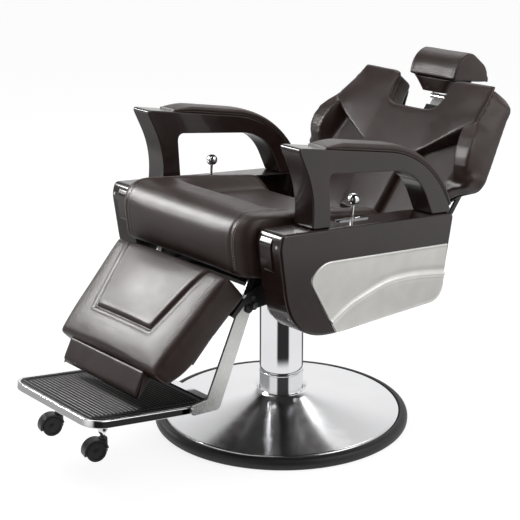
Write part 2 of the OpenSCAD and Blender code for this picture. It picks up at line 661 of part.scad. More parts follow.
// Tapered neck under the headrest, with two ears on the tilt pin
module headrest_bracket()
  color([0.13, 0.12, 0.12]) head_group() {
    skin([for (q = [[78, under(6, 0.05), under(112, 0.05)], [46, under(20, 41), under(82, 41)]])
      [for (c = [[-q[0], q[2]], [q[0], q[2]], [q[0], q[1]], [-q[0], q[1]]]) [c[0], c[1][0], c[1][1]]]]);
    both() plate_x([[-7, -3], [7, -6], [10, 10], under(82, 39), under(38, 39), [-10, 10]], 21, 27);
    bar_x([0, 0], 4, -30, 30);
    both() bar_x([0, 0], 8, 27, 32);
  }

head_half = 87;
module headrest_cushion() {
  corners = [[-77, 18, 17], [-82, 72, 26], [-66, 124, 26], [36, 128, 25], [57, 96, 11]];
  n = 14;
  color([0.18, 0.15, 0.14]) head_group() skin([
    for (i = [-n / 2 : n / 2])
      let (t = 2 * i / n, x = head_half * sin(90 * t), e = pow(abs(t), 6))
      [for (q = inset(ccw(rounded(corners)), 5 * e)) [x, q[0], q[1]]]
  ]);
}

// ---- leg rest --------------------------------------------------------------

module legrest_board()
  color([0.13, 0.12, 0.12]) pad_group() {
    translate([-190, -21.6, -215]) cube([380, 11, 195]);
    both() difference() {
      plate_x([[-6, 9], [-12, 6], [-21.6, -8], [-21.6, -70], [-10.6, -70], [-8, -30], [9, -5], [9, 5], [5, 9]], 212, 218);
      bar_x([0, 0], 5.05, 190, 230);
    }
    both() translate([180, -21.6, -70]) cube([35, 6, 50]);
  }

// Leg rest pad with a raised middle panel inside a V-shaped seam
pad_top = -9;
pad_low = -297;
seam_row = 12 / 18;        // where the seam crosses under the raised panel
module legrest_cushion() {
  seam_col = 0.5;
  seam_share = function(v) mix(0.51, 0.70, clamp((v - 1 + seam_row) / seam_row));
  bend = function(s, v) let (k = mix(seam_col, seam_share(v), smooth(v / (1 - seam_row))))
    s < seam_col ? s / seam_col * k : k + (s - seam_col) / (1 - seam_col) * (1 - k);
  front = function(x, u, s, v, rim) let (
    inside = v > 1 - seam_row + 0.01 && s < seam_col - 0.01,
    seam = abs(s - seam_col) < 0.01 && v > 1 - seam_row - 0.01 || abs(v - 1 + seam_row) < 0.01 && s < seam_col
  ) -111 - (inside ? 6 : 0) + (seam ? 5 : 0) + 14 * draw_in(rim, 0.18);
  rear = function(x, u, s, v, rim) -22.4 - 36 * pow(clamp((-205 - u) / 92), 2) - 6 * draw_in(rim, 0.12);
  color([0.19, 0.16, 0.15]) pad_group() quilt(
    [[0, pad_low], [100, pad_low], [203, pad_low]],
    [[203, pad_low], [210, -220], [218, -120], [226, pad_top]],
    [[0, pad_top], [110, pad_top], [226, pad_top]], 28, 18, front, rear, bend);
}

module legrest_flap()
  color([0.16, 0.13, 0.12]) pad_group() slab(rounded([[-62, -300, 6], [-88, -300, 6], [-84, -352, 12], [-58, -356, 12]]), -152, 152, 4, 4);

// ---- leg bars and links ----------------------------------------------------

bar_in = 178;              // inner face of the leg bars
bar_out = bar_in + bar_thick;
bracket_out = bar_out + 4;
// Leg bar with its forward foot, which carries the footrest's hinge
module leg_bar()
  color([0.78, 0.78, 0.79]) difference() {
    seat_group() union() {
      plate_x(rounded([
        [bar_pivot[0] - 16, bar_pivot[1] + 2, 6], [-284, 470, 4], [-390, 184, 3], foot_toe_top, foot_toe_low,
        [-353, 151.6, 6], [-346, 161, 3], [-272, 384, 4], [-256, 470, 4], [bar_pivot[0] + 12, bar_pivot[1] + 4, 6],
      ]), bar_in, bar_out);
      bar_x(bar_pivot, 13, bar_in, bar_out);
    }
    seat_group() bar_x(bar_pivot, 7.05, 150, 200);
    seat_group() bar_x(foot_pivot, 5.05, 150, 200);
    bar_group() bar_x([0, -leg_crank], 5, 150, 200);
  }
foot_toe_top = [-441, 175, 7];
foot_toe_low = [-434, 150, 7];
module leg_bar_left() leg_bar();
module leg_bar_right() mirror([1, 0, 0]) leg_bar();

// Black channel round the top of each leg bar
module leg_brackets() {
  outline = rounded([
    [-14, 12, 8], [14, 12, 8], [17, -60, 20], [13, -104, 8], [6, -118, 6], [-12, -116, 8], [-17, -60, 20],
  ]);
  color([0.13, 0.12, 0.12]) bar_group() both() difference() {
    union() {
      plate_x(outline, bar_in - 4, bar_in);
      plate_x(outline, bar_out, bracket_out);
    }
    bar_x([0, 0], 7.05, 150, 200);
    bar_x([0, -leg_crank], 5, 150, 200);
  }
}

// Pins that the front ends of the drive links ride on
module link_pins()
  color([0.6, 0.6, 0.62]) bar_group() both() {
    bar_x([0, -leg_crank], 5, bar_in - 6, link_x + 6);
    bar_x([0, -leg_crank], 8, link_x + 5, link_x + 7.4);
  }

module foot_crossbar()
  color([0.8, 0.8, 0.82]) seat_group() {
    translate([-bar_in, -371, 165]) cube([2 * bar_in, 24, 7]);
    both() translate([bar_in - 5, -371, 155]) cube([5, 22, 17]);
  }

module pivot_pins()
  color([0.7, 0.7, 0.72]) seat_group() both() {
    bar_x(back_pivot, 9, 226, 252);
    bar_x(bar_pivot, 7, bar_in - 6, front_in + 8);
    bar_x(pad_pivot, 5, front_in - 3, 221);
  }

// Ends of the drive links, one of which lies between each pair of cranks
link_rear = back_pivot + crank * [-sin(bar_angle), -cos(bar_angle)];
link_front = bar_pivot + leg_crank * [-sin(bar_angle), -cos(bar_angle)];
module drive_links() {
  d = unit(link_front - link_rear);
  w = [-d[1], d[0]] * 9;
  color([0.3, 0.3, 0.31]) seat_group() both() difference() {
    union() {
      plate_x([link_rear + w, link_rear - w, link_front - w, link_front + w], link_x, link_x + 4);
      for (p = [link_rear, link_front]) bar_x(p, 12, link_x, link_x + 4);
      bar_x(link_rear, 5, link_x - 10, link_x);
    }
    bar_x(link_front, 7.4, link_x - 5, link_x + 10);
  }
}

// ---- recline cylinder ------------------------------------------------------

cyl_base = [-120, 428];
rod_end = back_pivot + crank * [sin(5), -cos(5)];
cyl_angle = atan2(rod_end[1] - cyl_base[1], rod_end[0] - cyl_base[0]);
module along_cylinder() seat_group() translate([0, cyl_base[0], cyl_base[1]]) rotate([cyl_angle, 0, 0]) children();
module recline_cylinder()
  color([0.2, 0.2, 0.21]) along_cylinder() difference() {
    union() {
      rotate([-90, 0, 0]) cylinder(r = 6.8, h = 30);
      rotate([-90, 0, 0]) translate([0, 0, 24]) cylinder(r = 15, h = 176);
      rotate([0, 90, 0]) translate([0, 0, -7]) cylinder(r = 11, h = 14);
    }
    rotate([0, 90, 0]) translate([0, 0, -10]) cylinder(r = 5.05, h = 20);
    rotate([-90, 0, 0]) translate([0, 0, 60]) cylinder(r = 6.05, h = 160);
  }

module recline_rod()
  color([0.8, 0.8, 0.82]) along_cylinder() {
    len = norm(rod_end - cyl_base);
    rotate([-90, 0, 0]) translate([0, 0, 130]) cylinder(r = 6, h = len - 150);
    difference() {
      translate([-13, len - 22, -11]) cube([26, 36, 22]);
      translate([-6, len - 15, -20]) cube([12, 40, 40]);
      translate([-20, len, 0]) rotate([0, 90, 0]) cylinder(r = 5.6, h = 40);
    }
  }

// ---- footrest --------------------------------------------------------------

rail_w = 8;
rail_h = 19;
foot_top = 9;
foot_corner = 52;
mat_rear = 58;             // how far the mat runs back past the hinge
module foot_plan(half, front, rear, cut, h)
  linear_extrude(h) polygon(rounded([[-half, rear, 1], [-half, -front, cut], [half, -front, cut], [half, rear, 1]]));

// Flat rail bent round three sides, with a tray under the mat and hinge lugs
module foot_frame()
  color([0.84, 0.84, 0.85]) foot_group() {
    translate([0, 0, foot_top - rail_h]) difference() {
      foot_plan(foot_half, foot_len, -20, foot_corner, rail_h);
      translate([0, 0, -1]) foot_plan(foot_half - rail_w, foot_len - rail_w, 20, foot_corner - 6, rail_h + 2);
    }
    translate([0, 0, foot_top - 9]) foot_plan(foot_half - rail_w, foot_len - rail_w, mat_rear - 2, foot_corner - 6, 3);
    difference() {
      union() {
        translate([-foot_half + 4, castor_place[1] - 22, foot_top - rail_h]) cube([2 * foot_half - 8, 44, 5]);
        for (s = [-1, 1]) castor_turned(s) translate([0, 0, -2]) cylinder(r = 13, h = 8);
      }
      for (s = [-1, 1]) castor_turned(s) translate([0, 0, -5]) cylinder(r = 4.05, h = 8);
    }
    both() difference() {
      union() {
        bar_x([0, 0], 8, foot_half - 7, foot_half);
        translate([foot_half - 7, -24, -8]) cube([7, 24, 14]);
      }
      bar_x([0, 0], 5, 150, 200);
    }
  }

// Pins that join the footrest to the feet of the leg bars
module foot_bolts()
  color([0.7, 0.7, 0.72]) foot_group() both() {
    bar_x([0, 0], 5, foot_half - 7.9, bar_out + 1);
    bar_x([0, 0], 7.5, bar_out + 0.4, bar_out + 4);
  }

module foot_mat() {
  inner = foot_half - rail_w - 0.4;
  ribs = 28;
  pitch = 11;
  color([0.13, 0.12, 0.12]) foot_group() {
    translate([0, 0, foot_top - 5.8]) foot_plan(inner, foot_len - rail_w - 0.4, mat_rear, foot_corner - 6, 6.3);
    for (i = [0 : ribs - 1])
      let (y = mat_rear - 16 - i * pitch, a = inner - 14 - 34 * pow(clamp((-y - 228) / 40), 2))
      translate([-a, y, foot_top]) cube([2 * a, 4, 2]);
  }
}

// ---- castors ---------------------------------------------------------------

axle = [castor_trail[0], castor_trail[1], -stem_h];
trail_turn = atan2(castor_trail[1], castor_trail[0]);
module castor_turned(s)
  translate([s * castor_place[0], castor_place[1], foot_top - rail_h]) rotate([foot_tilt + seat_tilt, 0, 0]) children();
module castor_group(s) foot_group() castor_turned(s) children();
module castor(s)
  castor_group(s) {
    color([0.78, 0.78, 0.79]) translate([0, 0, -stem_h + 18]) cylinder(r = 5.5, h = stem_h - 20.2);
    color([0.78, 0.78, 0.79]) translate([0, 0, -stem_h + 40]) cylinder(r1 = 6, r2 = 11, h = 6);
    color([0.78, 0.78, 0.79]) translate([0, 0, -stem_h + 46]) cylinder(r = 11, h = stem_h - 48.2);
    color([0.78, 0.78, 0.79]) translate([0, 0, -10]) cylinder(r = 4, h = 12);
    color([0.09, 0.09, 0.09]) translate(axle) rotate([0, 0, trail_turn]) {
      difference() {
        rotate([90, 0, 0]) translate([0, 0, -12]) cylinder(r = wheel_r + 5, h = 24);
        rotate([90, 0, 0]) translate([0, 0, -15]) difference() {
          cylinder(r = wheel_r + 1.2, h = 30);
          translate([0, 0, 11]) cylinder(r = 9, h = 8);
        }
        translate([-60, -30, -60]) cube([120, 60, 56]);
        translate([8, -30, -20]) cube([60, 60, 24]);
      }
      rotate([90, 0, 0]) translate([0, 0, -4]) cylinder(r = 9, h = 8);
      translate([-4, -3.8, 0]) cube([8, 7.6, wheel_r + 3]);
      rotate([90, 0, 0]) translate([0, 0, -14]) cylinder(r = 3, h = 28);
    }
    color([0.09, 0.09, 0.09]) difference() {
      translate([0, 0, -stem_h + 12]) cylinder(r = 11, h = 20);
      for (k = [-1, 1]) translate(axle) rotate([0, 0, trail_turn]) rotate([90, 0, 0])
        translate([0, 0, k * 9.6 - 5.4]) cylinder(r = wheel_r + 1.2, h = 10.8);
    }
  }
module castor_left() castor(1);
module castor_right() castor(-1);

module castor_wheel(s)
  color([0.07, 0.07, 0.07]) castor_group(s) translate(axle) rotate([0, 0, trail_turn]) rotate([90, 0, 0])
    for (k = [-1, 1]) translate([0, 0, k * 8.9 - 4.5]) difference() {
      union() {
        translate([0, 0, 1.5]) cylinder(r = wheel_r, h = 6);
        cylinder(r1 = wheel_r - 1.5, r2 = wheel_r, h = 1.5);
        translate([0, 0, 7.5]) cylinder(r1 = wheel_r, r2 = wheel_r - 1.5, h = 1.5);
      }
      translate([0, 0, -1]) cylinder(r = 3.05, h = 12);
      translate([0, 0, k > 0 ? 7.4 : -0.1]) difference() {
        cylinder(r = wheel_r - 6, h = 1.7);
        cylinder(r = 7, h = 1.7);
      }
    }
module castor_wheel_left() castor_wheel(1);
module castor_wheel_right() castor_wheel(-1);

// ---- drawing ---------------------------------------------------------------

base_ring();
base_dish();
base_plate();
base_bolts();
pump_cylinder();
pump_collar();
pedal_bracket();
pedal_lever();
pedal_pad();
pump_ram();
column_sleeve();
thrust_washer();
swivel_hub();
seat_plate();
chassis();
chassis_bolts();
side_housing_left();
side_housing_right();
housing_inlay_left();
housing_inlay_right();
housing_screws();
armrest_left();
armrest_right();
arm_pad_left();
arm_pad_right();
arm_bolts();
lever_plates();
lever_left();
lever_right();
lever_ball_left();
lever_ball_right();
seat_board();
seat_cushion();
back_frame();
back_shell();
back_cushion();
back_panel();
headrest_socket();
headrest_post();
headrest_bracket();
headrest_cushion();
legrest_board();
legrest_cushion();
legrest_flap();
leg_bar_left();
leg_bar_right();
leg_brackets();
link_pins();
foot_crossbar();
pivot_pins();
drive_links();
recline_cylinder();
recline_rod();
foot_frame();
foot_mat();
foot_bolts();
castor_left();
castor_right();
castor_wheel_left();
castor_wheel_right();
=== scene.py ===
import json
import math

import bmesh
import bpy
import numpy as np
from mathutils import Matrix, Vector
from mathutils.bvhtree import BVHTree


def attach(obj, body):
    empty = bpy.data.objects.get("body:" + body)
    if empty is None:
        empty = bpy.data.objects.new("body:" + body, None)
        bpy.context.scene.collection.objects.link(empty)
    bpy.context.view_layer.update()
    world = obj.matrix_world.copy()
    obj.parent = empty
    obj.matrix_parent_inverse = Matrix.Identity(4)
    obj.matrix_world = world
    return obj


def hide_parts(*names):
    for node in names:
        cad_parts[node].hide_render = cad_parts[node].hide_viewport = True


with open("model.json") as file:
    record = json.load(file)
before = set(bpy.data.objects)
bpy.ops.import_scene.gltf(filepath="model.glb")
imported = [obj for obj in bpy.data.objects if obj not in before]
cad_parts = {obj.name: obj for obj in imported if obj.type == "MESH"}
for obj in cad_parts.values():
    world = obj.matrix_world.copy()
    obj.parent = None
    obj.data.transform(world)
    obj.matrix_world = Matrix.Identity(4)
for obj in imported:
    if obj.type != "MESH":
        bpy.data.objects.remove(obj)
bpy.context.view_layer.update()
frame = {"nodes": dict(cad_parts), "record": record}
nodes = frame["nodes"]
scene = bpy.context.scene
print("frame loaded with", len(nodes), "nodes")


# every group of parts has its own frame in mm, by steps from the row outwards:
# a move in x, y, z, or a lean of the top to the rear in degrees
seatPlace = [("move", 0, 0, 360), ("lean", 5.3), ("move", 0, 0, -360)]
backPlace = seatPlace + [("move", 0, 232, 530), ("lean", 33.5)]
footPlace = seatPlace + [("move", 0, -433, 162), ("lean", 3.1)]
barHinge = (-240, 498)  # y and z of the leg bars' upper pivot on the seat
castorSpot = {"x": 95, "y": -202, "z": -10, "lean": -8.4}  # on the footrest
places = {
    "row": [],
    "seat": seatPlace,
    "back": backPlace,
    "head": backPlace + [("move", 0, 89, 456)],
    "pad": seatPlace + [("move", 0, -296, 438), ("lean", 41.3)],
    "bar": seatPlace + [("move", 0, *barHinge), ("lean", 20.4)],
    "foot": footPlace,
}
twoSides = (("Left", 1), ("Right", -1))  # the sitter's left is +X
for side, way in twoSides:
    spot = ("move", castorSpot["x"] * way, castorSpot["y"], castorSpot["z"])
    places["castor" + side] = footPlace + [spot, ("lean", castorSpot["lean"])]


# a lean by a turns (y, z) into (y cos a + z sin a, z cos a - y sin a)
def leaned(p, degrees):
    c, s = math.cos(math.radians(degrees)), math.sin(math.radians(degrees))
    return np.stack([p[:, 0], p[:, 1] * c + p[:, 2] * s, p[:, 2] * c - p[:, 1] * s], 1)


# a group's mm to the row's metres, by its steps from the inside out
def toRow(points, group):
    p = np.array(points, float).reshape(-1, 3)
    for step in reversed(places[group]):
        p = leaned(p, step[1]) if step[0] == "lean" else p + step[1:]
    return p / 1000


# the row's metres back to a group's mm
def toGroup(points, group):
    p = np.array(points, float).reshape(-1, 3) * 1000
    for step in places[group]:
        p = leaned(p, -step[1]) if step[0] == "lean" else p - step[1:]
    return p


def mix(a, b, t):
    return a + (b - a) * t


# a quadratic curve from a to c that leans towards b
def quadratic(a, b, c, s):
    return (1 - s) ** 2 * a + 2 * s * (1 - s) * b + s * s * c


# 0 below 0, 1 above 1 and 3t^2 - 2t^3 between
def smooth(t):
    t = np.clip(t, 0, 1)
    return t * t * (3 - 2 * t)


# points at equal steps of length along a polyline
def evenly(points, count, closed=False):
    p = np.array(points, float)
    if closed:
        p = np.vstack([p, p[:1]])
    run = np.r_[0, np.cumsum(np.linalg.norm(np.diff(p, axis=0), axis=1))]
    t = np.linspace(0, run[-1], count, endpoint=not closed)
    return np.stack([np.interp(t, run, p[:, k]) for k in range(p.shape[1])], 1)


# the curve at t of 0 to 1 that passes through the points, a cubic between each pair
def through(points, t):
    p = np.array(points, float)
    p = np.vstack([p[:1], p, p[-1:]])
    t = np.atleast_1d(np.array(t, float)) * (len(p) - 3)
    k = np.minimum(t.astype(int), len(p) - 4)
    s = (t - k)[:, None]
    a, b, c, d = p[k], p[k + 1], p[k + 2], p[k + 3]
    return b + 0.5 * s * (c - a + s * (2 * a - 5 * b + 4 * c - d + s * (3 * b - a - 3 * c + d)))


# a closed outline with its corners [a, b, cut] bent over a quadratic curve, at an even spacing
def roundedOutline(corners, spacing=4.0):
    c = np.array(corners, float)
    p, cut = c[:, :2], c[:, 2:]
    before, after = np.roll(p, 1, 0) - p, np.roll(p, -1, 0) - p
    t1 = p + before / np.linalg.norm(before, axis=1, keepdims=True) * cut
    t2 = p + after / np.linalg.norm(after, axis=1, keepdims=True) * cut
    s = np.linspace(0, 1, 25)[None, :, None]
    curve = quadratic(t1[:, None], p[:, None], t2[:, None], s).reshape(-1, 2)
    if np.sum(curve[:, 0] * np.roll(curve[:, 1], -1) - np.roll(curve[:, 0], -1) * curve[:, 1]) < 0:
        curve = curve[::-1]
    length = np.sum(np.linalg.norm(np.roll(curve, -1, 0) - curve, axis=1))
    return evenly(curve, int(length / spacing), closed=True)


# an outline moved inwards by d along its normals
def inset(outline, d):
    t = np.roll(outline, -1, 0) - np.roll(outline, 1, 0)
    t /= np.linalg.norm(t, axis=1, keepdims=True)
    return outline + d * np.stack([-t[:, 1], t[:, 0]], 1)


# quads between neighbouring points of a grid of rows by columns
def gridFaces(rows, cols, wrapRows=False, wrapCols=False, start=0):
    i = np.arange(rows if wrapRows else rows - 1)[:, None]
    j = np.arange(cols if wrapCols else cols - 1)[None, :]
    i2, j2 = (i + 1) % rows, (j + 1) % cols
    quads = np.stack([i * cols + j, i * cols + j2, i2 * cols + j2, i2 * cols + j], -1)
    return (quads.reshape(-1, 4) + start).tolist()


# the numbers of the points round the border of a grid, in order
def borderIds(rows, cols):
    ids = list(range(cols)) + [k * cols + cols - 1 for k in range(1, rows)]
    ids += [(rows - 1) * cols + k for k in range(cols - 2, -1, -1)]
    return ids + [k * cols for k in range(rows - 2, 0, -1)]


# a grid skin closed by a flat underside: its border's points times keep, plus base
def closedBelow(points, rows, cols, keep, base):
    ids = borderIds(rows, cols)
    start, n = len(points), len(ids)
    faces = gridFaces(rows, cols)
    faces += [[ids[k], start + k, start + (k + 1) % n, ids[(k + 1) % n]] for k in range(n)]
    return np.vstack([points, points[ids] * keep + base]), faces + [[start + k for k in range(n)]]


# rings of equal count joined into a skin, with a flat face on each end
def ringSkin(rings):
    r = np.array(rings, float)
    m, n = r.shape[:2]
    ends = [list(range(n)), list(range((m - 1) * n, m * n))]
    return r.reshape(-1, 3), gridFaces(m, n, wrapCols=True) + ends


# an outline in y and z placed at x
def inSlice(x, outline):
    return np.column_stack([np.full(len(outline), x), outline])


# a plate with an outline in y and z; its profile is a list of (x, how far in)
def plateSkin(outline, profile):
    return ringSkin([inSlice(x, inset(outline, d)) for x, d in profile])


# quarter-round rim of radius r that ends at x, starting from its side
def rim(x, r, way, steps):
    a = np.radians(np.linspace(0, 90, steps + 1))
    return [(x - way * r * (1 - math.sin(t)), r * (1 - math.cos(t))) for t in a]


# full plate profile between x0 and x1 with rims of radius r
def plateProfile(x0, x1, r, steps):
    return rim(x0, r, -1, steps)[::-1] + rim(x1, r, 1, steps)


# a flat section carried along a path in 3D, standing across it
def sweep(path, section, up):
    p = np.array(path, float)
    t = np.gradient(p, axis=0)
    t /= np.linalg.norm(t, axis=1, keepdims=True)
    side = np.cross(t, np.broadcast_to(np.array(up, float), t.shape))
    side /= np.linalg.norm(side, axis=1, keepdims=True)
    top = np.cross(side, t)
    s = np.array(section, float)
    return ringSkin(p[:, None] + side[:, None] * s[None, :, :1] + top[:, None] * s[None, :, 1:])


# a closed profile of (radius, height) turned round the vertical axis
def turned(profile, steps=192):
    p = np.array(profile, float)
    a = np.linspace(0, 2 * math.pi, steps, endpoint=False)[:, None]
    height = np.broadcast_to(p[None, :, 1], (steps, len(p)))
    rings = np.stack([np.cos(a) * p[None, :, 0], np.sin(a) * p[None, :, 0], height], -1)
    return rings.reshape(-1, 3), gridFaces(steps, len(p), wrapRows=True, wrapCols=True)


# several parts as one
def joined(*parts):
    points, faces, start = [], [], 0
    for p, f in parts:
        points.append(np.array(p, float).reshape(-1, 3))
        faces += [[i + start for i in face] for face in f]
        start += len(points[-1])
    return np.vstack(points), faces


# the sitter's left made the right
def mirrored(part):
    return np.array(part[0], float) * [-1, 1, 1], [list(reversed(f)) for f in part[1]]


def onSide(part, way):
    return part if way > 0 else mirrored(part)


def setMesh(name, points, faces, outward=True):
    mesh = bpy.data.meshes.new(name)
    mesh.from_pydata(np.array(points, float).tolist(), [], faces)
    if outward:
        work = bmesh.new()
        work.from_mesh(mesh)
        bmesh.ops.recalc_face_normals(work, faces=work.faces)
        work.to_mesh(mesh)
        work.free()
    mesh.polygons.foreach_set("use_smooth", np.ones(len(mesh.polygons), bool))
    mesh.update()
    return mesh


# a finished object on its body, with its finish, in place of the CAD nodes that it stands for
def addPiece(name, part, group, body, finish, replaced=(), weighted=True):
    obj = bpy.data.objects.new(name, setMesh(name, toRow(part[0], group), part[1]))
    scene.collection.objects.link(obj)
    if weighted:
        obj.modifiers.new("even shading", "WEIGHTED_NORMAL").weight = 80
    return finishPiece(obj, body, finish, replaced)


def finishPiece(obj, body, finish, replaced=()):
    obj.data.materials.clear()
    obj.data.materials.append(materials[finish])
    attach(obj, body)
    if replaced:
        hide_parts(*([replaced] if isinstance(replaced, str) else replaced))
    return obj


def rgb(hexColour):
    c = [int(hexColour[i:i + 2], 16) / 255 for i in (1, 3, 5)]
    return [v / 12.92 if v <= 0.04045 else ((v + 0.055) / 1.055) ** 2.4 for v in c] + [1.0]


# adds a node; each input is a value or another node's output, and the rest are its settings
def addNode(tree, kind, inputs=None, **settings):
    node = tree.nodes.new(kind)
    for key, value in settings.items():
        setattr(node, key, value)
    for key, value in (inputs or {}).items():
        if isinstance(value, bpy.types.NodeSocket):
            tree.links.new(value, node.inputs[key])
        else:
            node.inputs[key].default_value = value
    return node


def newMaterial(name, shader):
    material = bpy.data.materials.new(name)
    material.use_nodes = True
    tree = material.node_tree
    tree.nodes.clear()
    out = addNode(tree, "ShaderNodeOutputMaterial")
    place = addNode(tree, "ShaderNodeTexCoord").outputs["Object"]
    body = addNode(tree, "ShaderNodeBsdfPrincipled", shader)
    tree.links.new(body.outputs[0], out.inputs[0])
    return material, tree, body, place


# a value between low and high that follows noise with features of the given size in metres
def speckle(tree, place, size, low, high, stretch=(1, 1, 1)):
    spread = addNode(tree, "ShaderNodeMapping", {"Vector": place, "Scale": [s / size for s in stretch]})
    noise = addNode(tree, "ShaderNodeTexNoise", {"Vector": spread.outputs[0], "Scale": 1.0, "Detail": 3.0})
    span = {"Value": noise.outputs[0], "From Min": 0.3, "From Max": 0.7, "To Min": low, "To Max": high}
    return addNode(tree, "ShaderNodeMapRange", span).outputs[0]


# dresses a new material: its colour lies between two by a pattern, and patterns give its roughness and bumps.
# a pattern is another node's output, or noise as (size in m, low, high)
def dressed(new, colours, roughness, bumps=None):
    material, tree, body, place = new

    def pattern(value):
        return speckle(tree, place, *value) if isinstance(value, tuple) else value

    factor, dark, pale = colours
    mixed = addNode(tree, "ShaderNodeMix", {0: pattern(factor), 6: rgb(dark), 7: rgb(pale)}, data_type="RGBA")
    tree.links.new(mixed.outputs[2], body.inputs["Base Color"])
    tree.links.new(pattern(roughness), body.inputs["Roughness"])
    if bumps:
        height, distance = bumps
        settings = {"Height": pattern(height), "Distance": distance, "Strength": 1.0}
        bump = addNode(tree, "ShaderNodeBump", settings)
        tree.links.new(bump.outputs[0], body.inputs["Normal"])
    return material


# full-grain hide with a pigment coat: pebbles about 1.5 mm across, drawn at 2.2 mm so that they show,
# which break the gloss into a soft sheen
def makeLeather():
    new = newMaterial("pigmented leather", {"Specular IOR Level": 0.42})
    tree, place = new[1], new[3]
    pebbleSize = 0.0022
    spread = {"Vector": place, "Scale": 1 / pebbleSize, "Randomness": 1.0}
    cells = addNode(tree, "ShaderNodeTexVoronoi", spread, feature="DISTANCE_TO_EDGE")
    pebble = addNode(tree, "ShaderNodeMapRange", {"Value": cells.outputs[0], "From Max": 0.18}).outputs[0]
    soft = speckle(tree, place, 0.012, 0.0, 0.5)
    height = addNode(tree, "ShaderNodeMath", {0: pebble, 1: soft}, operation="ADD").outputs[0]
    return dressed(new, ((0.07, 0, 1), "#2a1c18", "#33241f"), (0.03, 0.33, 0.40), (height, 0.00010))


# sprayed and polished lacquer: an almost black brown under a clear coat, deep and wet to the eye
def makeLacquer():
    clearCoat = {"Specular IOR Level": 0.4, "Coat Weight": 0.35, "Coat Roughness": 0.05}
    new = newMaterial("polished lacquer", clearCoat)
    return dressed(new, ((0.10, 0, 1), "#1f1412", "#271a17"), (0.02, 0.20, 0.27), ((0.006, 0, 1), 0.00002))


# pressed aluminium sheet, blasted and clear anodised: an even silver that spreads the light
def makeInlay():
    new = newMaterial("satin aluminium", {"Metallic": 1.0})
    return dressed(new, ((0.05, 0, 1), "#d8d7d3", "#e2e1dd"), (0.0012, 0.34, 0.44), ((0.0010, 0, 1), 0.00002))


# bright nickel and chrome plate: a clean mirror with faint wiping marks
def makeChrome():
    new = newMaterial("chrome plate", {"Metallic": 1.0})
    return dressed(new, ((0.15, 0, 1), "#e4e4e6", "#ececee"), (0.02, 0.025, 0.06))


# the dish is spun and polished by hand: a mirror that blurs what it shows
def makeSpun():
    new = newMaterial("spun chrome", {"Metallic": 1.0})
    return dressed(new, ((0.2, 0, 1), "#eaeaec", "#f0f0f1"), (0.03, 0.13, 0.17))


# flat steel bar, ground along its length and satin plated: streaks 1 mm wide
def makeBrushed():
    new = newMaterial("ground flat steel", {"Metallic": 1.0})
    streak = speckle(new[1], new[3], 0.001, 0.22, 0.36, stretch=(1, 1, 0.04))
    return dressed(new, ((0.04, 0, 1), "#cfcfcd", "#dbdbda"), streak, (streak, 0.00004))


# moulded rubber and grained nylon: matt black with a fine bloom
def makeRubber(name, dark, pale, rough, level=0.5):
    new = newMaterial(name, {"Specular IOR Level": level})
    gloss = (0.004, rough - 0.05, rough + 0.05)
    return dressed(new, ((0.03, 0, 1), dark, pale), gloss, ((0.0011, 0, 1), 0.00006))


# powder coat over steel: orange peel of 2 mm
def makePowderCoat():
    new = newMaterial("black powder coat", {})
    return dressed(new, ((0.05, 0, 1), "#1c1a1a", "#242222"), (0.01, 0.38, 0.5), ((0.002, 0, 1), 0.00005))


# zinc plated screws and pins: dull silver with a cloudy surface
def makeZinc():
    new = newMaterial("zinc plate", {"Metallic": 1.0})
    return dressed(new, ((0.01, 0, 1), "#b4b6b8", "#c8cacb"), (0.004, 0.25, 0.42))


# oiled bronze: warm, worn smooth
def makeBronze():
    new = newMaterial("bearing bronze", {"Metallic": 1.0})
    return dressed(new, ((0.01, 0, 1), "#a3824c", "#b8965a"), (0.004, 0.3, 0.4))


# birch plywood: long pale grain, 3 mm across and 15 times as long
def makePlywood():
    new = newMaterial("birch plywood", {})
    grain = speckle(new[1], new[3], 0.003, 0, 1, stretch=(0.07, 1, 1))
    return dressed(new, (grain, "#b08e5e", "#caa877"), (0.01, 0.5, 0.65), (grain, 0.0001))


# bonded polyester thread, a little paler than the hide
def makeThread():
    new = newMaterial("polyester thread", {"Sheen Weight": 0.3})
    return dressed(new, ((0.002, 0, 1), "#6b5f5a", "#8a7f79"), (0.001, 0.45, 0.6))


materials = {
    "leather": makeLeather(), "lacquer": makeLacquer(), "inlay": makeInlay(), "chrome": makeChrome(),
    "brushed": makeBrushed(), "rubber": makeRubber("moulded rubber", "#110f0f", "#181515", 0.5),
    "mat": makeRubber("ribbed mat rubber", "#0f0d0d", "#151212", 0.42, 0.2),
    "tread": makeRubber("castor tread", "#100f0f", "#181717", 0.45),
    "plastic": makeRubber("grained nylon", "#141313", "#1b1919", 0.35),
    "powder": makePowderCoat(), "zinc": makeZinc(),
    "bronze": makeBronze(), "plywood": makePlywood(), "thread": makeThread(), "spun": makeSpun(),
}
slotOf = {
    "leather": "leather", "lacquer": "lacquer", "inlay": "inlay", "chrome": "chrome", "brushed": "brushed",
    "rubber": "rubber", "mat": "rubber", "tread": "rubber", "powder": "steel", "zinc": "zinc",
    "plastic": "plastic", "bronze": "bronze", "plywood": "board", "thread": "leather", "spun": "chrome",
}
finishOf = {slotName: finish for finish, slotName in reversed(slotOf.items())}
record = frame["record"]
for entry in record["subparts"]:
    finish = "brushed" if entry["node"] == "headrest_post" else finishOf[entry["material_slot"]]
    mesh = nodes[entry["node"]].data
    mesh.materials.clear()
    mesh.materials.append(materials[finish])
print("materials made:", len(materials))


# degrees and mm; the lens is a focal length in pixels of a picture 520 wide
view = {"azimuth": 49.06, "elevation": 17.70, "distance": 3613, "aside": -57.7, "height": 446.7,
        "lens": 1364.8, "picture": 520}


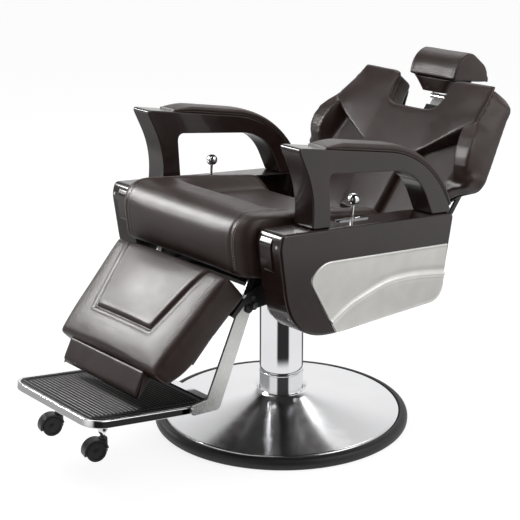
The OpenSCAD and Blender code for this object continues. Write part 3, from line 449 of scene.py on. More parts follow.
# a direction from azimuth and elevation, with azimuth 0 towards -Y and 90 towards +X
def direction(azimuth, elevation):
    a, e = math.radians(azimuth), math.radians(elevation)
    return Vector((math.sin(a) * math.cos(e), -math.cos(a) * math.cos(e), math.sin(e)))


def setCamera():
    a = math.radians(view["azimuth"])
    back = direction(view["azimuth"], view["elevation"])
    right = Vector((math.cos(a), math.sin(a), 0))
    target = right * view["aside"] / 1000 + Vector((0, 0, view["height"] / 1000))
    data = bpy.data.cameras.new("camera")
    data.sensor_width = 36
    data.lens = view["lens"] * data.sensor_width / view["picture"]
    data.clip_end = 60
    camera = bpy.data.objects.new("camera", data)
    camera.location = target + back * view["distance"] / 1000
    camera.rotation_euler = (-back).to_track_quat("-Z", "Y").to_euler()
    scene.collection.objects.link(camera)
    scene.camera = camera


studio = {
    "fill": 0.48,          # what the leather and paint are lit by from all round
    "darkTurn": 57.0,      # azimuth of the dark end of the room, in degrees
    "darkSpread": 30.0,    # half its width
    "flagTurn": -60.0,     # azimuth of a black flag above the floor
    "flagSpread": 45.0,
    "lamps": [             # x, y, z in m, size m, watts, 1 to light all or 0 to show in gloss alone
        (-0.34, -1.27, 2.97, 1.8, 30, 1), (2.14, 1.0, 2.35, 1.6, 26, 1),
        (-1.1, 1.58, 2.8, 1.6, 20, 1), (-1.0, -1.0, 1.36, 0.6, 46, 0)],
}


def setLamps():
    for i, (x, y, z, size, watts, wide) in enumerate(studio["lamps"]):
        data = bpy.data.lights.new("softbox%d" % i, "AREA")
        data.shape, data.size, data.energy = "SQUARE", size, watts
        lamp = bpy.data.objects.new("softbox%d" % i, data)
        lamp.location = (x, y, z)
        lamp.rotation_euler = (Vector((x, y, z)) - Vector((0, 0, 0.5))).to_track_quat("Z", "Y").to_euler()
        lamp.visible_diffuse = bool(wide)
        scene.collection.objects.link(lamp)


# cosine of the angle between a flat direction and an azimuth
def alongAzimuth(tree, place, azimuth):
    flat = addNode(tree, "ShaderNodeVectorMath", {0: place, 1: (1, 1, 0)}, operation="MULTIPLY").outputs[0]
    flat = addNode(tree, "ShaderNodeVectorMath", {0: flat}, operation="NORMALIZE").outputs[0]
    dot = addNode(tree, "ShaderNodeVectorMath", {0: flat, 1: direction(azimuth, 0)}, operation="DOT_PRODUCT")
    return dot.outputs["Value"]


# a smooth fade from low to high as a value goes from start to end, multiplied by another value
def fade(tree, value, start, end, low=0.0, high=1.0, by=None):
    span = {"Value": value, "From Min": start, "From Max": end, "To Min": low, "To Max": high}
    level = addNode(tree, "ShaderNodeMapRange", span, interpolation_type="SMOOTHSTEP").outputs[0]
    if by is None:
        return level
    return addNode(tree, "ShaderNodeMath", {0: by, 1: level}, operation="MULTIPLY").outputs[0]


# how far a flat direction lies inside a sector of the studio: 1 within spread of its turn, 0 well outside
def sector(tree, place, which, soft=0.06):
    edge = math.cos(math.radians(studio[which + "Spread"]))
    return fade(tree, alongAzimuth(tree, place, studio[which + "Turn"]), edge - soft, edge + soft)


def setWorld():
    world = bpy.data.worlds.new("studio")
    scene.world = world
    world.use_nodes = True
    tree = world.node_tree
    tree.nodes.clear()
    place = addNode(tree, "ShaderNodeTexCoord").outputs["Generated"]
    path = addNode(tree, "ShaderNodeLightPath").outputs
    height = addNode(tree, "ShaderNodeSeparateXYZ", {0: place}).outputs[2]
    # in reflections the paper sweep greys with height, and the room is dark at its one end and at the flag
    dark = fade(tree, sector(tree, place, "dark"), 0, 1, 1, 0.05)
    darkAndFlag = fade(tree, sector(tree, place, "flag", 0.15), 0, 1, 1, 0.35, by=dark)
    mirrorLight = fade(tree, height, 0.36, 0.82, 0.95, 0.15, by=darkAndFlag)
    direct = addNode(tree, "ShaderNodeMix", {0: path["Is Camera Ray"], 2: studio["fill"], 3: 1.0})
    levels = {0: path["Is Glossy Ray"], 2: direct.outputs[0], 3: mirrorLight}
    strength = addNode(tree, "ShaderNodeMix", levels).outputs[0]
    light = addNode(tree, "ShaderNodeBackground", {"Color": (1, 1, 1, 1), "Strength": strength})
    addNode(tree, "ShaderNodeOutputWorld", {0: light.outputs[0]})


# white paper: it keeps a soft shadow and shows white to the camera, and mirrors see it as it has to look
def setFloor():
    mesh = bpy.data.meshes.new("floor")
    size = 12.0
    corners = [(-size, -size, 0), (size, -size, 0), (size, size, 0), (-size, size, 0)]
    mesh.from_pydata(corners, [], [(0, 1, 2, 3)])
    floor = bpy.data.objects.new("floor", mesh)
    scene.collection.objects.link(floor)
    material = bpy.data.materials.new("white paper")
    material.use_nodes = True
    tree = material.node_tree
    tree.nodes.clear()
    place = addNode(tree, "ShaderNodeTexCoord").outputs["Object"]
    path = addNode(tree, "ShaderNodeLightPath").outputs
    paper = addNode(tree, "ShaderNodeBsdfDiffuse", {"Color": (0.35, 0.35, 0.35, 1)})
    lift = addNode(tree, "ShaderNodeEmission", {"Color": (1, 1, 1, 1), "Strength": 0.80})
    shown = addNode(tree, "ShaderNodeAddShader", {0: paper.outputs[0], 1: lift.outputs[0]})
    far = addNode(tree, "ShaderNodeVectorMath", {0: place}, operation="LENGTH").outputs["Value"]
    # mirrored floor: dark at the room's end, a grey ring 1.1 to 1.7 m out, and grey at the column's two edges
    front = fade(tree, far, 0.42, 0.55, by=sector(tree, place, "dark"))
    bright = fade(tree, front, 0, 1, 0.95, 0.03)
    ring = fade(tree, far, 1.6, 2.2, 1, 0, by=fade(tree, far, 0.95, 1.2))
    bright = fade(tree, ring, 0, 1, 1, 0.45, by=bright)
    edge = alongAzimuth(tree, place, view["azimuth"])
    edge = fade(tree, edge, -0.99, -0.94, by=fade(tree, edge, -0.60, -0.68))
    bright = fade(tree, fade(tree, far, 1.3, 1.0, by=edge), 0, 1, 1, 0.12, by=bright)
    seen = addNode(tree, "ShaderNodeEmission", {"Color": (1, 1, 1, 1), "Strength": bright})
    lit = addNode(tree, "ShaderNodeBsdfDiffuse", {"Color": (0.8, 0.8, 0.8, 1)})
    mixed = lit
    for ray, shader in (("Is Glossy Ray", seen), ("Is Camera Ray", shown)):
        both = {0: path[ray], 1: mixed.outputs[0], 2: shader.outputs[0]}
        mixed = addNode(tree, "ShaderNodeMixShader", both)
    addNode(tree, "ShaderNodeOutputMaterial", {0: mixed.outputs[0]})
    mesh.materials.append(material)


scene.view_settings.view_transform = "Standard"
setCamera()
setLamps()
setWorld()
setFloor()
print("camera, lamps and floor set")


base = {"radius": 345, "dishTop": 84, "dishIn": 56, "dishLow": 30, "sleeve": 59, "seam": 140}


# dish height: a hollow cone that steepens up to the collar
def dishHeight(r):
    t = (r - base["dishIn"] - 8) / (base["radius"] - 31 - base["dishIn"])
    return base["dishTop"] - (base["dishTop"] - base["dishLow"]) * np.clip(t, 0, 1) ** 0.6


def makeBase():
    r = base["radius"]
    ring = through([[r - 22, 12], [r - 22, 26], [r - 19.5, 30], [r - 13, 29.6], [r - 5, 25.5], [r - 0.8, 18],
                    [r, 11], [r - 1.2, 4], [r - 5, 0.6], [r - 9, 0]], np.linspace(0, 1, 60))
    ring = np.vstack([ring, [[r - 27, 0], [r - 29, 2], [r - 29, 8]]])
    addPiece("baseRing", turned(ring, 288), "row", "base", "rubber", "base_ring")
    dishIn = base["dishIn"]
    radii = np.r_[np.linspace(dishIn, dishIn + 40, 30), np.linspace(dishIn + 44, r - 35, 60)]
    top = np.stack([radii, dishHeight(radii)], 1)
    low = dishHeight(r - 35)
    roll = through([top[-1], [r - 29, low - 0.8], [r - 26, low - 1.8], [r - 24.4, low - 3.6],
                    [r - 23.7, low - 7], [r - 23.2, 12]], np.linspace(0, 1, 30))[1:]
    outer = np.vstack([top, roll])
    inner = np.array([[r - 26, 12], [r - 26.5, 22]])
    under = np.stack([radii[::-3], dishHeight(radii[::-3]) - 3], 1)
    addPiece("baseDish", turned(np.vstack([outer, inner, under]), 288), "row", "base", "spun", "base_dish")
    s, low, seam = base["sleeve"], base["dishTop"], base["seam"]
    collar = through([[s + 6, low - 7.6], [s + 5.8, low - 2], [s + 4.6, low], [s + 2.6, low + 1],
                      [s + 1.4, low + 3], [s + 0.8, low + 9], [s + 0.8, seam - 6]], np.linspace(0, 1, 40))
    lip = through([[s + 0.8, seam - 3], [s + 0.3, seam - 1], [s - 1, seam - 0.2]], np.linspace(0, 1, 8))
    collar = np.vstack([collar, lip, [[50, seam - 0.2], [50, low - 7.6]]])
    addPiece("pumpCollar", turned(collar), "row", "base", "chrome", "pump_collar")
    sleeve = np.vstack([[[52, seam + 1], [s - 1.5, seam + 1]],
                        through([[s - 0.4, seam + 1.4], [s, seam + 3]], np.linspace(0, 1, 5)),
                        np.stack([np.full(20, s), np.linspace(seam + 8, 388, 20)], 1), [[52, 388]]])
    addPiece("columnSleeve", turned(sleeve), "row", "lift", "chrome", "column_sleeve")


makeBase()
print("base made")


sides = {"housingIn": 253, "housingFace": 328, "housingOut": 336, "wall": 4, "armIn": 256, "armOut": 324,
         "padThick": 20}
housingOutline = roundedOutline([(-321, 619, 12), (-329, 588, 16), (-272, 352, 130), (-110, 354, 30),
                                 (252, 389, 48), (272, 619, 15)])
inlayOutline = roundedOutline([(257, 541, 5), (-190, 541, 34), (-229, 499, 21), (-126, 357, 5),
                               (252, 391, 46)], 2.5)
ridgeLine = [(-150, 379), (-99, 413), (-52, 434), (42, 463), (144, 468), (262, 459)]


# moulded shell: inner wall, lip, outer wall and a face with a rounded edge, and the strip on its front
def housingPart():
    d = sides
    x, wall = d["housingIn"], d["wall"]
    lip = [(x + 1.2, wall), (x, wall - 1.2), (x, 1.2), (x + 1.2, 0)]
    profile = [(d["housingFace"], wall)] + lip + rim(d["housingOut"], 7.5, 1, 8)
    strip = [(-312, 606, 2), (-325, 606, 4), (-332, 590, 6), (-321, 528, 3), (-308, 518, 2)]
    strip = roundedOutline(strip, 2)
    return joined(plateSkin(housingOutline, profile), plateSkin(strip, plateProfile(264, 304, 1.5, 3)))


# a patch between four edge curves, from the blend of its sides less the blend of its corners
def patch(bottom, top, left, right):
    n, m = len(bottom), len(left)
    s, t = np.linspace(0, 1, n)[None, :, None], np.linspace(0, 1, m)[:, None, None]
    b, u, l, r = bottom[None], top[None], left[:, None], right[:, None]
    corners = mix(mix(b[:, :1], b[:, -1:], s), mix(u[:, :1], u[:, -1:], s), t)
    return mix(b, u, t) + mix(l, r, s) - corners


# least distance of each point to a polyline
def distanceTo(points, line):
    best = np.full(len(points), 1e9)
    for a, b in zip(line[:-1], line[1:]):
        d = b - a
        t = np.clip(((points - a) @ d) / max(d @ d, 1e-12), 0, 1)
        best = np.minimum(best, np.linalg.norm(points - a - t[:, None] * d, axis=1))
    return best


# pressed sheet: a rolled rim along its edge, a swept ridge and a shallow trough above the ridge
def inlayPart():
    outline = inlayOutline
    corners = ((-126, 357), (243, 400), (257, 541), (-212, 524))
    marks = [np.argmin(np.linalg.norm(outline - p, axis=1)) for p in corners]
    chains = []
    for a, b in zip(marks, marks[1:] + marks[:1]):
        chains.append(outline[a:b + 1] if b > a else np.vstack([outline[a:], outline[:b + 1]]))
    across, up = 170, 64
    bottom, right, top, left = [evenly(c, k) for c, k in zip(chains, (across, up, across, up))]
    grid = patch(bottom, top[::-1], left[::-1], right)
    flat = grid.reshape(-1, 2)
    edge = distanceTo(flat, np.vstack([outline, outline[:1]]))
    line = through(ridgeLine, np.linspace(0, 1, 60))
    above = flat[:, 1] - np.interp(flat[:, 0], line[:, 0], line[:, 1])
    ridge = distanceTo(flat, line) * np.sign(above)
    height = 1.6 + 1.0 * np.exp(-((edge - 3.2) / 1.7) ** 2) - 1.0 * np.exp(-(edge / 1.1) ** 2)
    height += 3.2 * np.exp(-(ridge / 5.0) ** 2) - 1.1 * np.exp(-((ridge - 13) / 7) ** 2)
    height += 0.9 * smooth(-ridge / 16) + 0.9 * np.sin(np.clip(edge / 120, 0, 1) * math.pi / 2)
    x = sides["housingOut"] + 0.3 + height * smooth(edge / 1.5 + 0.25)
    return closedBelow(np.column_stack([x, flat]), up, across, [0, 1, 1], [sides["housingOut"] - 0.5, 0, 0])


sill = 619.2  # height of the housings' upper edge, which the arms stand on
armCorners = [(-286, 818, 18), (168, 777, 150), (275, sill, 18), (199, sill, 5), (130, 738, 85),
              (-178, 751, 24), (-158, sill, 9), (-219, sill, 8), (-217, 700, 70)]
armOutline = roundedOutline(armCorners, 2.5)


# the arm's upper edge at t of 0 to 1: straight, bent over the shoulder, then straight down again
def armTop(t):
    tip, shoulder, heel = [np.array(c[:2], float) for c in armCorners[:3]]
    ahead, down = [(p - shoulder) / np.linalg.norm(p - shoulder) for p in (tip, heel)]
    start, end = shoulder + ahead * 150, shoulder + down * 150
    s = np.clip((t - 0.4) / 0.55, 0, 1)[:, None]
    bend = quadratic(start, shoulder, end, s)
    before, after = np.clip(0.4 - t, 0, 1)[:, None], np.clip(t - 0.95, 0, 1)[:, None]
    return bend + ahead * before * 535 + down * after * 400


def armPart():
    return plateSkin(armOutline, plateProfile(sides["armIn"], sides["armOut"], 3.5, 6))


# arm pad section, 1 high with a half width of 1: a thin bead below, a seam line and a crowned body above it
def padSection():
    half = np.array([(0, 0), (-0.90, 0), (-0.985, 0.05), (-1.0, 0.14), (-0.985, 0.23), (-0.945, 0.27),
                     (-0.985, 0.32), (-1.01, 0.46), (-0.99, 0.62), (-0.92, 0.78), (-0.78, 0.90),
                     (-0.55, 0.97), (-0.28, 1.0), (0, 1.01)])
    curve = np.vstack([half[:2], through(half[2:], np.linspace(0, 1, 34))])
    whole = np.vstack([curve, (curve * [-1, 1])[-2:0:-1]])
    return whole


# the pad follows the arm's upper edge, and rises and widens behind its tip
def armPadPart():
    t = np.linspace(0, 1, 90)
    path = armTop(t)
    along = np.gradient(path, axis=0)
    along /= np.linalg.norm(along, axis=1, keepdims=True)
    up = np.stack([-along[:, 1], along[:, 0]], 1)
    rise = 0.22 + 0.78 * np.sin(np.pi / 2 * np.clip(t * 7 + 0.03, 0, 1))
    height = sides["padThick"] * rise * (1 - 0.35 * smooth((t - 0.85) / 0.15))
    narrow = 2.5 * (1 - np.sin(np.pi / 2 * np.clip(t * 14, 0, 1)))
    width = (sides["armOut"] - sides["armIn"]) / 2 - 1.5 - narrow
    unit = padSection()
    x = (sides["armOut"] + sides["armIn"]) / 2 + unit[None, :, 0] * width[:, None]
    h = 0.1 + unit[None, :, 1] * height[:, None]
    rings = np.concatenate([x[..., None], path[:, None] + up[:, None] * h[..., None]], -1)
    return ringSkin(rings)


def makeSides():
    housing, inlay, arm, pad = housingPart(), inlayPart(), armPart(), armPadPart()
    for side, way in twoSides:
        lower = side.lower()
        addPiece("sideHousing" + side, onSide(housing, way), "seat", "seat", "lacquer",
                 "side_housing_" + lower)
        addPiece("housingInlay" + side, onSide(inlay, way), "seat", "seat", "inlay", "housing_inlay_" + lower,
                 weighted=False)
        addPiece("armrest" + side, onSide(arm, way), "seat", "seat", "lacquer", "armrest_" + lower)
        piece = addPiece("armPad" + side, onSide(pad, way), "seat", "seat", "leather", "arm_pad_" + lower)


makeSides()
print("sides made")


leg = {"barIn": 178, "barOut": 184, "edge": 0.9, "plate": 4}
barOutline = roundedOutline([
    (-256, 500, 6), (-284, 470, 4), (-390, 184, 3), (-441, 175, 9), (-434, 150, 9),
    (-353, 151.6, 6), (-346, 161, 3), (-272, 384, 4), (-256, 470, 4), (-228, 502, 6)], 2.5)
bracketOutline = roundedOutline([(-14, 12, 8), (14, 12, 8), (17, -60, 20), (13, -104, 8), (6, -118, 6),
                                 (-12, -116, 8), (-17, -60, 20)], 2.5)


# a round plate between x0 and x1 about y and z
def discPart(y, z, x0, x1, r, edge=0.8):
    a = np.linspace(0, 2 * math.pi, 48, endpoint=False)
    return plateSkin(np.stack([y + r * np.cos(a), z + r * np.sin(a)], 1), plateProfile(x0, x1, edge, 3))


def makeLegBars():
    bar = joined(plateSkin(barOutline, plateProfile(leg["barIn"], leg["barOut"], leg["edge"], 3)),
                 discPart(*barHinge, leg["barIn"], leg["barOut"], 13))
    for side, way in twoSides:
        addPiece("legBar" + side, onSide(bar, way), "seat", "leg_bars", "brushed", "leg_bar_" + side.lower())
    inner = plateSkin(bracketOutline, plateProfile(leg["barIn"] - leg["plate"], leg["barIn"], 0.8, 2))
    outer = plateSkin(bracketOutline, plateProfile(leg["barOut"], leg["barOut"] + leg["plate"], 0.8, 2))
    plates = joined(inner, outer)
    addPiece("legBrackets", joined(plates, mirrored(plates)), "bar", "leg_bars", "powder", "leg_brackets")


foot = {"half": 176, "front": 288, "rear": 20, "corner": 52, "rail": 8, "low": -10, "top": 9, "matRear": 58,
        "ribPitch": 11, "ribHalf": 2.6, "ribHeight": 2.0, "borderIn": 14, "borderHeight": 1.6}


# a box with rounded edges, as a plate profile over its rounded outline in y and z
def blockPart(x0, x1, y0, y1, z0, z1, edge=0.8):
    outline = roundedOutline([(y0, z0, edge), (y1, z0, edge), (y1, z1, edge), (y0, z1, edge)], 3)
    return plateSkin(outline, plateProfile(x0, x1, edge, 2))


# the footrest's plan: straight sides joined by quadratic corners
def footPlan(half, front, rear, corner):
    s = np.linspace(0, 1, 25)[:, None]
    curve = np.array([(half, -front + corner), (half, -front), (half - corner, -front)], float)
    right = np.vstack([[(half, rear)], quadratic(*curve, s)])
    return np.vstack([right, (right * [-1, 1])[::-1]])


# a rail bent round the front, a tray, two lugs at the hinge, and a strip with two bosses for the castors
def makeFootrest():
    f = foot
    half = f["rail"] / 2
    path = evenly(footPlan(f["half"] - half, f["front"] - half, f["rear"], f["corner"] - 2), 260)
    tall = (f["top"] - f["low"]) / 2
    corners = ((-1, -1), (1, -1), (1, 1), (-1, 1))
    section = roundedOutline([(a * half, b * tall, 2.6) for a, b in corners], 0.9)
    path3 = np.column_stack([path, np.full(len(path), (f["top"] + f["low"]) / 2)])
    rail = sweep(path3, section, up=(0, 0, 1))
    plan = footPlan(f["half"] - 8, f["front"] - 8, 56, f["corner"] - 6)
    tray = ringSkin([np.column_stack([plan, np.full(len(plan), z)]) for z in (0, 3)])
    lug = joined(discPart(0, 0, 169, 176, 8), blockPart(169, 176, -26, 0, -8, 6))
    strip = blockPart(-172, 172, -224, -180, -10, -5)
    boss = turned([(4.1, -2), (12, -2), (13, -1), (13, 6), (4.1, 6)], 48)
    boss = leaned(boss[0], castorSpot["lean"]) + [castorSpot["x"], castorSpot["y"], castorSpot["z"]], boss[1]
    parts = joined(rail, tray, strip, lug, mirrored(lug), boss, mirrored(boss))
    addPiece("footFrame", parts, "foot", "footrest", "chrome", "foot_frame")


# half width of the mat at y, which follows the frame's rounded front corners
def matHalf(y, half, front, corner):
    q = np.clip((-front + corner - y) / corner, 0, 1)
    return half - corner * (1 - np.sqrt(1 - q)) ** 2


# mat height: round-topped ribs across it, a raised line inside its border and a rounded edge
def makeMat():
    f = foot
    half, front, rear = f["half"] - 8.4, f["front"] - 8.4, f["matRear"]
    y = np.linspace(-front, rear, 470)
    near = np.array([0, 0.6, 1.5, 3, 8, 11, 12, 13, 14, 15, 16, 17, 20, 22, 24, 27])
    wide = matHalf(y, half, front, f["corner"] - 6)[:, None]
    inner = np.linspace(-1, 1, 26)[None, 1:-1] * (wide - 27)
    x = np.concatenate([-(wide - near), inner, (wide - near)[:, ::-1]], 1)
    yy = np.broadcast_to(y[:, None], x.shape)
    gap = np.minimum(wide - np.abs(x), np.minimum(yy + front, 400))
    toRear = rear - yy
    phase = ((yy - rear + 14) / f["ribPitch"] + 0.5) % 1 - 0.5
    rib = np.sqrt(np.clip(1 - (phase * f["ribPitch"] / f["ribHalf"]) ** 2, 0, 1))
    inside = smooth((gap - 22) / 3) * smooth((toRear - 12) / 3)
    border = np.sqrt(np.clip(1 - ((gap - f["borderIn"]) / 2.0) ** 2, 0, 1))
    z = f["top"] + 0.5 + f["ribHeight"] * rib * inside + f["borderHeight"] * border
    z -= 2.5 * (1 - smooth(np.minimum(gap, toRear) / 2.5 + 0.2))
    rows, cols = x.shape
    skin = closedBelow(np.stack([x, yy, z], -1).reshape(-1, 3), rows, cols, [1, 1, 0], [0, 0, 3.2])
    addPiece("footMat", skin, "foot", "footrest", "mat", "foot_mat", weighted=False)


castor = {"stem": 86, "trail": (-5.0, -19.3), "hood": 31, "clear": 26.3}


# castor parts in their own frame: the wheel turns about the line across its trail
def makeCastors():
    c = castor
    a = math.atan2(c["trail"][1], c["trail"][0])
    ahead, across = np.array([math.cos(a), math.sin(a), 0]), np.array([-math.sin(a), math.cos(a), 0])
    axle = np.array([c["trail"][0], c["trail"][1], -c["stem"]])

    # a part made with x across the wheel, y along its trail and z up is turned into place
    def placed(part):
        p = np.array(part[0], float)
        return axle + p[:, :1] * across + p[:, 1:2] * ahead + p[:, 2:] * [0, 0, 1], part[1]

    t = np.radians(np.linspace(-12, 168, 60))
    arc = np.stack([np.cos(t), np.sin(t)], 1)
    outline = evenly(np.vstack([c["hood"] * arc, c["clear"] * arc[::-1]]), 130, closed=True)
    fender = plateSkin(outline, plateProfile(-14.5, 14.5, 1.2, 3))
    outline = roundedOutline([(24, -8, 5), (24, 22, 8), (4, 27, 8), (-22, 16, 8), (-22, -4, 5)], 2)
    web = plateSkin(outline, plateProfile(-3.6, 3.6, 0.6, 2))
    boss = turned([(0.01, -17), (9, -17), (11, -14), (11.5, -2), (11.5, 18), (10, 21), (6, 22), (0.01, 22)],
                  48)
    low = -c["stem"]
    boss = (np.array(boss[0]) + [0, 0, low + 10], boss[1])
    stem = turned([(0.01, low + 30), (6, low + 30), (6, low + 38), (11, low + 46), (12, low + 50),
                   (12, -3.2), (11, -2.2), (4, -2.2), (4, 2), (0.01, 2)], 64)
    hub = discPart(0, 0, -15.2, 15.2, 3.4)
    for side in ("Left", "Right"):
        body = "fork_" + side.lower()
        hood = joined(placed(fender), placed(web), placed(hub), boss)
        addPiece("castorHood" + side, hood, "castor" + side, body, "plastic", "castor_" + side.lower())
        addPiece("castorStem" + side, stem, "castor" + side, body, "chrome")


makeLegBars()
makeFootrest()
makeMat()
makeCastors()
print("legs, footrest and castors made")


# closed padded solid between a front and a rear surface over the area between four curves in x and z.
# bottom and top run outwards from the middle, side runs upwards, bend moves the columns sideways, and
# front and rear give the depth at x, u, s outwards, v upwards and the share of the way in from the rim
def quilt(bottom, side, top, across, up, front, rear, bend=None):
    s = np.linspace(-1, 1, 2 * across + 1)[None, :]
    v = np.linspace(0, 1, up + 1)[:, None]
    a, vv = np.broadcast_arrays(np.abs(s), v)
    w = bend(a, vv) if bend else a
    rows, cols = a.shape
    curves = ((bottom, w), (top, w), (side, vv))
    low, high, out = [through(line, t.ravel()).reshape(rows, cols, 2) for line, t in curves]
    v3, w3 = vv[..., None], w[..., None]
    (low0, low1), (high0, high1) = through(bottom, [0, 1]), through(top, [0, 1])
    corner = mix(mix(low0, low1, w3), mix(high0, high1, w3), v3)
    q = mix(low, high, v3) + mix(mix(low0, high0, v3), out, w3) - corner
    x = np.where(s < 0, -1, 1) * q[..., 0]
    rimShare = np.minimum(1 - a, 2 * np.minimum(vv, 1 - vv))
    u = q[..., 1]
    face, back = [np.stack([x, depth(x, u, w, vv, rimShare), u], -1) for depth in (front, rear)]
    ids = borderIds(rows, cols)
    n, size = len(ids), rows * cols
    faces = gridFaces(rows, cols) + [f[::-1] for f in gridFaces(rows, cols, start=size)]
    faces += [[ids[(k + 1) % n], ids[k], size + ids[k], size + ids[(k + 1) % n]] for k in range(n)]
    return np.vstack([face.reshape(-1, 3), back.reshape(-1, 3)]), faces


# how much the rounding of a rim draws the surface in, from 1 at the rim to 0
def drawIn(rimShare, reach):
    return (1 - np.clip(rimShare / reach, 0, 1)) ** 2


# the object's mesh with its modifiers applied takes the place of its own
def applied(obj):
    mesh = evaluated(obj)
    obj.modifiers.clear()
    obj.data = mesh
    return mesh


def evaluated(obj):
    graph = bpy.context.evaluated_depsgraph_get()
    return bpy.data.meshes.new_from_object(obj.evaluated_get(graph), depsgraph=graph)


# the mesh's points, or their normals
def perPoint(mesh, kind="co"):
    values = np.empty(len(mesh.vertices) * 3, np.float32)
    mesh.vertices.foreach_get(kind, values)
    return values.reshape(-1, 3).astype(float)


def putPoints(mesh, points):
    mesh.vertices.foreach_set("co", points.astype(np.float32).ravel())
    mesh.update()


# a move of each point evened out with its neighbours', round after round
def evenedOut(mesh, move, rounds):
    ends = np.empty(len(mesh.edges) * 2, np.int32)
    mesh.edges.foreach_get("vertices", ends)
    a, b = ends[::2], ends[1::2]
    count = np.bincount(np.r_[a, b], minlength=len(move))[:, None] + 1
    for k in range(rounds):
        near = [np.bincount(a, m[b], len(m)) + np.bincount(b, m[a], len(m)) for m in move.T]
        move = (move + np.stack(near, 1)) / count
    return move


# every cushion's foam; each piece's own dictionary gives its voxel and cap in mm and its pressure
foam = {"quality": 4, "mass": 0.4, "stiffness": 18, "bending": 0.6, "frames": 20}


# the foam's air blows up the hide as cloth, and each point's move is held within a cap and evened out
def blowUp(obj, mesh, soft):
    rest = perPoint(mesh)
    cloth = obj.modifiers.new("foam", "CLOTH")
    settings = cloth.settings
    settings.use_pressure = True
    settings.uniform_pressure_force = soft["pressure"]
    settings.quality = foam["quality"]
    settings.mass = foam["mass"]
    settings.tension_stiffness = settings.compression_stiffness = foam["stiffness"]
    settings.bending_stiffness = foam["bending"]
    settings.effector_weights.gravity = 0
    cloth.point_cache.frame_start, cloth.point_cache.frame_end = 1, foam["frames"]
    for frameNumber in range(1, foam["frames"] + 1):
        scene.frame_set(frameNumber)
    blown = evaluated(obj)
    move = perPoint(blown) - rest
    far = np.linalg.norm(move, axis=1, keepdims=True)
    cap = soft["cap"] / 1000
    move *= np.minimum(1, cap * np.tanh(far / cap) / np.maximum(far, 1e-9))
    move = evenedOut(mesh, move, soft["even"])
    obj.modifiers.clear()
    scene.frame_set(1)
    putPoints(mesh, rest + move)
    bpy.data.meshes.remove(blown)


# foam under hide: remeshed at an even size, blown up and divided once.
# carve(points in the group's mm, normals) gives how far each point moves along its normal, in mm
def stuffed(name, part, group, body, replaced, soft, carve=None):
    obj = bpy.data.objects.new(name, setMesh(name, toRow(part[0], group), part[1]))
    scene.collection.objects.link(obj)
    remesh = obj.modifiers.new("even mesh", "REMESH")
    remesh.mode, remesh.voxel_size = "VOXEL", soft["voxel"] / 1000
    relax = obj.modifiers.new("relax", "SMOOTH")
    relax.factor, relax.iterations = 0.5, soft["relax"]
    mesh = applied(obj)
    blowUp(obj, mesh, soft)
    divide = obj.modifiers.new("divide", "SUBSURF")
    divide.levels = divide.render_levels = 1
    mesh = applied(obj)
    if carve:
        p, n = perPoint(mesh), perPoint(mesh, "normal")
        local = toGroup(p, group)
        localNormal = toGroup(p + n * 0.001, group) - local
        putPoints(mesh, p + n * carve(local, localNormal)[:, None] / 1000)
    mesh.polygons.foreach_set("use_smooth", np.ones(len(mesh.polygons), bool))
    mesh.name = name
    finishPiece(obj, body, "leather", replaced)
    print(name, "stuffed:", len(mesh.vertices), "points")
    return obj


# a sewn seam: a groove on the line, with the hide rounding up to it on both sides
def seam(points, line, depth, width):
    d = distanceTo(points, line)
    swell = 0.3 * depth * np.exp(-((d - 3.2 * width) / (1.6 * width)) ** 2)
    return swell - depth * np.exp(-(d / width) ** 2)


thread = {"pitch": 7.0, "length": 4.8, "thick": 0.7, "lift": 0.3}  # mm; thick is a radius


# thread: small capsules laid at a pitch along a line in the group's mm, each on the cushion's nearest point
def stitches(name, cushion, group, body, line):
    graph = bpy.context.evaluated_depsgraph_get()
    tree = BVHTree.FromObject(cushion, graph)
    run = np.array(line, float)
    total = np.sum(np.linalg.norm(np.diff(run, axis=0), axis=1))
    spots = toRow(evenly(run, int(total / thread["pitch"]) * 2 + 1), group)
    hits = [tree.find_nearest(Vector(p))[:2] for p in spots]
    at, normal = [np.array([tuple(h[k]) for h in hits]) for k in (0, 1)]
    centre, normal = at[1:-1:2] + normal[1:-1:2] * thread["lift"] / 1000, normal[1:-1:2]
    along = at[2::2] - at[:-2:2]
    along /= np.maximum(np.linalg.norm(along, axis=1, keepdims=True), 1e-9)
    side = np.cross(normal, along)
    t = np.array([-1, -0.8, 0, 0.8, 1]) * thread["length"] / 2000
    r = np.array([0.05, 0.8, 1, 0.8, 0.05]) * thread["thick"] / 1000
    a = np.linspace(0, 2 * math.pi, 6, endpoint=False)
    cos, sin = np.cos(a)[None, None, :, None], np.sin(a)[None, None, :, None]
    turn = side[:, None, None] * cos + normal[:, None, None] * sin
    t, r = t[None, :, None, None], r[None, :, None, None]
    points = centre[:, None, None] + along[:, None, None] * t + turn * r
    faces = sum([gridFaces(5, 6, wrapCols=True, start=30 * k) for k in range(len(centre))], [])
    obj = bpy.data.objects.new(name, setMesh(name, points.reshape(-1, 3), faces, outward=False))
    scene.collection.objects.link(obj)
    return finishPiece(obj, body, "thread")


seat = {"half": 249, "low": 494, "pan": 598, "bolster": 645, "board": 542.5, "corner": 46, "endSeam": 206,
        "voxel": 6, "pressure": 4, "cap": 5, "fill": 0.85, "relax": 5, "even": 40}


